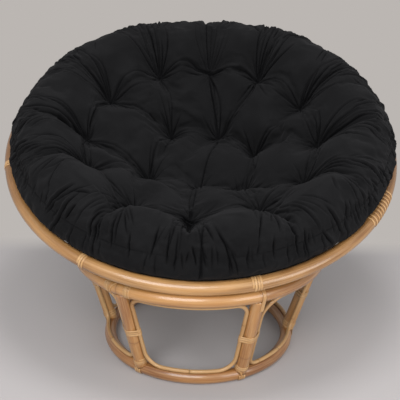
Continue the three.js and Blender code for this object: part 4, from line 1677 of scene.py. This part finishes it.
    def is_top(self, places: np.ndarray) -> np.ndarray:
        """Which places lie on the cushion's top, inside the seam."""
        radius, height = reach_of(places), places[:, 2]
        inside = (radius < self.roll_middle) | (height > self.waist_height)
        return (height > self.underside(radius) + self.top_above) & inside

    def drawn_in(self, places: np.ndarray) -> np.ndarray:
        """Draws the cover down to its tufts, with a valley from each outer tuft over the roll."""
        drawn = places.copy()
        top = self.is_top(places)
        depth = np.zeros(len(places))
        for tuft in TUFTS:
            away = tuft.away(places)
            nearest = np.where(top, away, np.inf).argmin()
            depth += (places[nearest, 2] - tuft.height) * np.exp(-away / self.tuft_spread)
        for tuft in OUTER_TUFTS:
            out, beyond, across = tuft.valley(places)
            front = self.back_share + (1 - self.back_share) * ((1 - out.y) / 2) ** 2
            start = rising(beyond, 0, self.valley_start)
            end = rising(beyond, self.valley_length, self.valley_end)
            share = front * start * (1 - end * end * (3 - 2 * end))
            depth += self.valley_depth * tuft.pull * share * np.exp(-across / self.valley_spread)
        radius, height = reach_of(places), places[:, 2]
        back = rising(places[:, 1] / np.maximum(radius, 1e-6), 0, 1) ** self.back_power
        depth += self.back_drop * back * rising(radius, self.back_from, self.blend)
        edge = rising(height, self.waist_height, self.blend_height)
        depth *= np.where(radius > self.roll_middle, edge, 1)
        drawn[:, 2] -= np.where(top, depth, 0)
        raised = rising(height, self.sway_height, self.blend_height)
        drawn[:, 0] += self.sway * (raised * rising(radius, self.sway_from, self.blend))
        return drawn

    def held(self, places: np.ndarray) -> np.ndarray:
        """How firmly each place is held, from 0 to 1: the underside, the seam and the tufts."""
        radius = reach_of(places)
        top = self.is_top(places)
        firm = np.where(top, 0.0, 1.0)
        side = (radius > self.roll_middle) & (places[:, 2] > self.waist_height - self.blend_height)
        firm[side & ~top] = 0.0
        seam = np.hypot(radius - self.seam_radius, places[:, 2] - self.seam_height)
        firm[seam < self.voxel * 0.8] = 1.0
        for tuft in TUFTS:
            firm[top & (tuft.away(places) < self.tuft_reach)] = 1.0
        for tuft in OUTER_TUFTS:
            out, beyond, across = tuft.valley(places)
            if out.y < self.front_limit:
                along = (beyond > 0) & (beyond < self.valley_held)
                firm[top & along & (across < self.voxel / 2)] = 1.0
        return firm

    def stuffed(self, form: bpy.types.Object) -> np.ndarray:
        """Lets the filling press the cover out between its tufts.

        Args:
            form: The even mesh of the crown.

        Returns:
            Where the cover comes to rest.
        """
        crown = self.places(form)
        drawn = self.drawn_in(crown)
        self.move(form, drawn)
        pins = form.vertex_groups.new(name="held")
        firm = self.held(crown)
        for level in np.unique(firm[firm > 0]):
            pins.add(np.flatnonzero(firm == level).tolist(), float(level), "REPLACE")
        cloth = form.modifiers.new("stuffing", "CLOTH")
        settings = cloth.settings
        settings.quality = 6
        settings.mass = 0.25
        settings.tension_stiffness = settings.compression_stiffness = self.stiffness
        settings.shear_stiffness = 8
        settings.bending_stiffness = self.bending
        settings.air_damping = 4
        settings.use_pressure = True
        settings.uniform_pressure_force = self.pressure
        settings.vertex_group_mass = pins.name
        settings.pin_stiffness = 1.0
        settings.shrink_min = -self.spare_cloth
        settings.effector_weights.gravity = 0
        cloth.collision_settings.use_collision = False
        cloth.point_cache.frame_start = 1
        cloth.point_cache.frame_end = self.frames
        scene = bpy.context.scene
        for frame in range(1, self.frames + 1):
            scene.frame_set(frame)
        self.baked(form)
        scene.frame_set(1)
        places = self.places(form)
        travel = places - drawn
        length = np.linalg.norm(travel, axis=1, keepdims=True)
        LOG.info("cover moved %.1f mm at most, %.1f on average", length.max(), length.mean())
        return drawn + travel * np.minimum(1, self.cap / np.maximum(length, 1e-6))

    def flat(self, places: np.ndarray) -> np.ndarray:
        """Lays the cover out flat: the distance from its middle is measured over the edge roll."""
        radius = reach_of(places)
        past = radius - self.roll_middle
        above = places[:, 2] - self.roll_centre
        turned = np.arctan2(np.maximum(past, 0), np.maximum(above, 1e-6))
        over = self.roll_middle + self.roll_radius * turned
        side = self.roll_middle + self.roll_radius * QUARTER_TURN - above
        reach = np.where(past <= 0, radius, np.where(above > 0, over, side))
        return places[:, :2] * (reach / np.maximum(radius, 1e-6))[:, None]

    def creased(self, form: bpy.types.Object) -> np.ndarray:
        """Presses the folds into the cover and keeps their painted shade.

        Args:
            form: The stuffed cover, finely divided.

        Returns:
            The places of its corners.
        """
        places = self.places(form)
        normals = np.zeros(len(form.data.vertices) * 3)
        form.data.vertices.foreach_get("normal", normals)
        flat = self.flat(places)
        sink, rise, dark = (np.zeros(len(places)) for _ in range(3))
        seam_turn = math.acos((self.seam_height - self.roll_centre) / self.roll_radius)
        folds = CoverFolds(self.roll_middle + self.roll_radius * seam_turn).all()
        for fold in folds:
            fold.press(flat, sink, rise, dark)
        radius, height = reach_of(places), places[:, 2]
        band = rising(height, self.band_height, self.band_blend)
        above = rising(height - self.underside(radius), self.fold_above, self.fold_blend)
        cover = np.maximum(above, np.where(radius > self.band_radius, band, 0))
        pucker = self.puckers(places, cover > 0)
        pinch = self.pinch_depth * np.exp(-((pucker[:, 2] / METRES / self.pinch_reach) ** 2))
        sink = np.maximum(sink, pinch) * cover
        # the folds' painted shade, for the cloth's finish
        self.note(form, FOLD_SHADE, "FLOAT", "value", dark * cover)
        self.note(form, PUCKER, "FLOAT_VECTOR", "vector", pucker.ravel())
        LOG.info("%d folds in the cover, %.1f mm deep at most", len(folds), sink.max())
        return places + normals.reshape(-1, 3) * (rise * cover - sink)[:, None]

    def note(
        self, form: bpy.types.Object, name: str, kind: str, key: str, values: np.ndarray
    ) -> None:
        """Keeps a value for each corner as an attribute that the cloth's finish reads."""
        form.data.attributes.new(name, kind, "POINT").data.foreach_set(key, values)

    def puckers(self, places: np.ndarray, top: np.ndarray) -> np.ndarray:
        """The way to each place from its nearest tuft, and how far off it is in metres."""
        pucker = np.full((len(places), 3), 1.0)
        for tuft in TUFTS:
            run = places - tuft.place
            away = np.linalg.norm(run, axis=1) * METRES
            nearer = top & (away < pucker[:, 2])
            flat_length = np.maximum(np.hypot(run[:, 0], run[:, 1]), 1e-3)
            pucker[nearer, 0] = (run[:, 0] / flat_length)[nearer]
            pucker[nearer, 1] = (run[:, 1] / flat_length)[nearer] + tuft.angle
            pucker[nearer, 2] = away[nearer]
        return pucker

    def refined(self, form: bpy.types.Object) -> None:
        """Divides the top and the side once more, so that they hold the folds."""
        bm = bmesh.new()
        bm.from_mesh(form.data)
        places = self.places(form)
        radius, height = reach_of(places), places[:, 2]
        shown = height > self.underside(radius) + self.fine_above
        shown |= (radius > self.fine_radius) & (height > self.fine_height)
        edges = [edge for edge in bm.edges if all(shown[vert.index] for vert in edge.verts)]
        bmesh.ops.subdivide_edges(bm, edges=edges, cuts=1, use_grid_fill=True)
        bm.to_mesh(form.data)
        bm.free()

    def build(self) -> None:
        """Builds the cushion."""
        form = self.remeshed(self.crown())
        places = self.stuffed(form)
        self.move(form, places)
        finer = form.modifiers.new("finer_mesh", "SUBSURF")
        finer.levels = finer.render_levels = 1
        self.baked(form)
        self.refined(form)
        self.move(form, self.creased(form))
        bm = bmesh.new()
        bm.from_mesh(form.data)
        bpy.data.objects.remove(form)
        bmesh.ops.scale(bm, vec=(1 / METRES,) * 3, verts=bm.verts)
        piece = self.make("cushion_cover", bm, "cloth", Slot.CLOTH, "cushion")


# The studio


@dataclass
class Studio:
    """A plain pale floor, soft lights and the camera."""

    floor_tone: Tone = (175, 171, 171)
    wall_tone: Tone = (187, 182, 178)
    floor_radius: float = 14.0
    paper_middle: tuple[float, float] = (0.0, -0.36)
    paper_reach: tuple[float, float] = (1.35, 0.83)
    paper_fade: float = 0.08
    paper_power: float = 6.0  # how square the paper is
    ambient: float = 0.62
    camera_place: tuple[float, float, float] = (0.00111, -1.77155, 0.9773)
    pitch: float = 19.56
    yaw: float = 0.054
    roll: float = 0.906
    lens: float = 56.9
    shift: tuple[float, float] = (-0.00025, 0.005)

    def build(self) -> None:
        """Builds the floor, the world, the lights and the camera."""
        self.floor()
        self.world()
        self.light("key_softbox", (-0.65, -2.6, 2.05), (0.0, 0.0, 0.35), 1.8, 66.0)
        self.light("fill_softbox", (1.9, -2.2, 1.1), (0.0, 0.0, 0.3), 1.6, 30.0)
        self.light("top_softbox", (0.1, -0.45, 2.65), (0.0, -0.3, 0.4), 0.7, 22.0)
        self.camera()
        scene = bpy.context.scene
        scene.view_settings.view_transform = "Standard"

    def floor(self) -> None:
        """A wide round floor."""
        bm = bmesh.new()
        bmesh.ops.create_circle(bm, cap_ends=True, segments=96, radius=self.floor_radius)
        mesh = drawn(bm, "studio_floor")
        mesh.materials.append(self.paper())
        placed("studio_floor", mesh)

    def paper(self) -> bpy.types.Material:
        """The floor's finish, which runs softly into the wall's tone round the chair.

        Returns:
            A material on object coordinates.
        """
        material, sheet = new_material("studio_floor_paper")
        sheet.plain(Base_Color=light_of(self.floor_tone), Roughness=0.9, Specular_IOR_Level=0.1)
        parts = sheet.split(sheet.object_place())
        powers = []
        for axis, middle, reach in zip("XY", self.paper_middle, self.paper_reach):
            share = sheet.maths("SUBTRACT", parts[axis], middle)
            share = sheet.maths("DIVIDE", sheet.maths("ABSOLUTE", share), reach)
            powers.append(sheet.maths("POWER", share, self.paper_power))
        away = sheet.maths("POWER", sheet.maths("ADD", *powers), 1 / self.paper_power)
        fade = sheet.ranged(away, (1 - self.paper_fade, 1 + self.paper_fade), (0.0, 1.0))
        share = sheet.maths("MULTIPLY", fade, sheet.seen())
        sheet.swapped(share, sheet.lit("ShaderNodeEmission", self.wall_tone))
        return material

    def world(self) -> None:
        """The wall's tone behind the chair and even light from everywhere."""
        world = bpy.data.worlds.new("studio_world")
        bpy.context.scene.world = world
        sheet = NodeSheet(world, "ShaderNodeBackground")
        sheet.plain(Color=(1, 1, 1, 1), Strength=self.ambient)
        sheet.swapped(sheet.seen(), sheet.lit("ShaderNodeBackground", self.wall_tone))

    def light(
        self,
        name: str,
        place: tuple[float, float, float],
        target: tuple[float, float, float],
        size: float,
        power: float,
    ) -> None:
        """A square softbox that faces a target."""
        lamp = bpy.data.lights.new(name, "AREA")
        lamp.size = size
        lamp.energy = power
        light = placed(name, lamp)
        light.location = place
        light.rotation_mode = "QUATERNION"
        light.rotation_quaternion = (Vector(target) - Vector(place)).to_track_quat("-Z", "Y")

    def camera(self) -> None:
        """The camera at the photograph's viewing angle."""
        pitch, yaw, roll = (math.radians(a) for a in (self.pitch, self.yaw, self.roll))
        right = Vector((math.cos(yaw), math.sin(yaw), 0))
        forward = Vector(
            (-math.sin(yaw) * math.cos(pitch), math.cos(yaw) * math.cos(pitch), -math.sin(pitch))
        )
        up = right.cross(forward)
        turned_right = right * math.cos(roll) + up * math.sin(roll)
        turned_up = up * math.cos(roll) - right * math.sin(roll)
        lens = bpy.data.cameras.new("photo_camera")
        lens.lens = self.lens
        lens.sensor_width = 36.0
        lens.shift_x, lens.shift_y = self.shift
        camera = placed("photo_camera", lens)
        basis = Matrix((turned_right, turned_up, -forward)).transposed().to_4x4()
        camera.matrix_world = Matrix.Translation(self.camera_place) @ basis
        bpy.context.scene.camera = camera


# The chair


@dataclass(frozen=True)
class Places:
    """Where the stand and the bowl lie in the frame."""

    stand: Matrix
    bowl: Matrix

    @classmethod
    def read(cls, joints: Sequence[dict]) -> "Places":
        """Reads them from the joints: the bowl tilts about its sphere's middle.

        Args:
            joints: The record's joints.

        Returns:
            The two places.
        """
        by_name = {joint["name"]: joint for joint in joints}
        middle = Vector(by_name["bowl_tilt"]["pos_m"])
        upward = Vector(by_name["cushion_lift"]["axis"])
        lean = math.atan2(-upward.y, upward.z)
        scale = Matrix.Scale(METRES, 4)
        stand = Matrix.Translation((middle.x, middle.y, 0)) @ scale
        bowl = Matrix.Translation(middle) @ Matrix.Rotation(lean, 4, "X") @ scale
        return cls(stand, bowl)


def main() -> None:
    """Builds the chair's looks around the frame, then the studio."""
    logging.basicConfig(level=logging.INFO, format="%(name)s: %(message)s")
    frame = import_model()
    places = Places.read(frame["joints"])
    finishes = Finishes()
    Stand(finishes, places.stand).build()
    bowl = Bowl(finishes, places.bowl)
    bowl.build()
    Cushion(finishes, places.bowl, bowl.rim_drop).build()
    Studio().build()


if __name__ == "__main__":
    main()
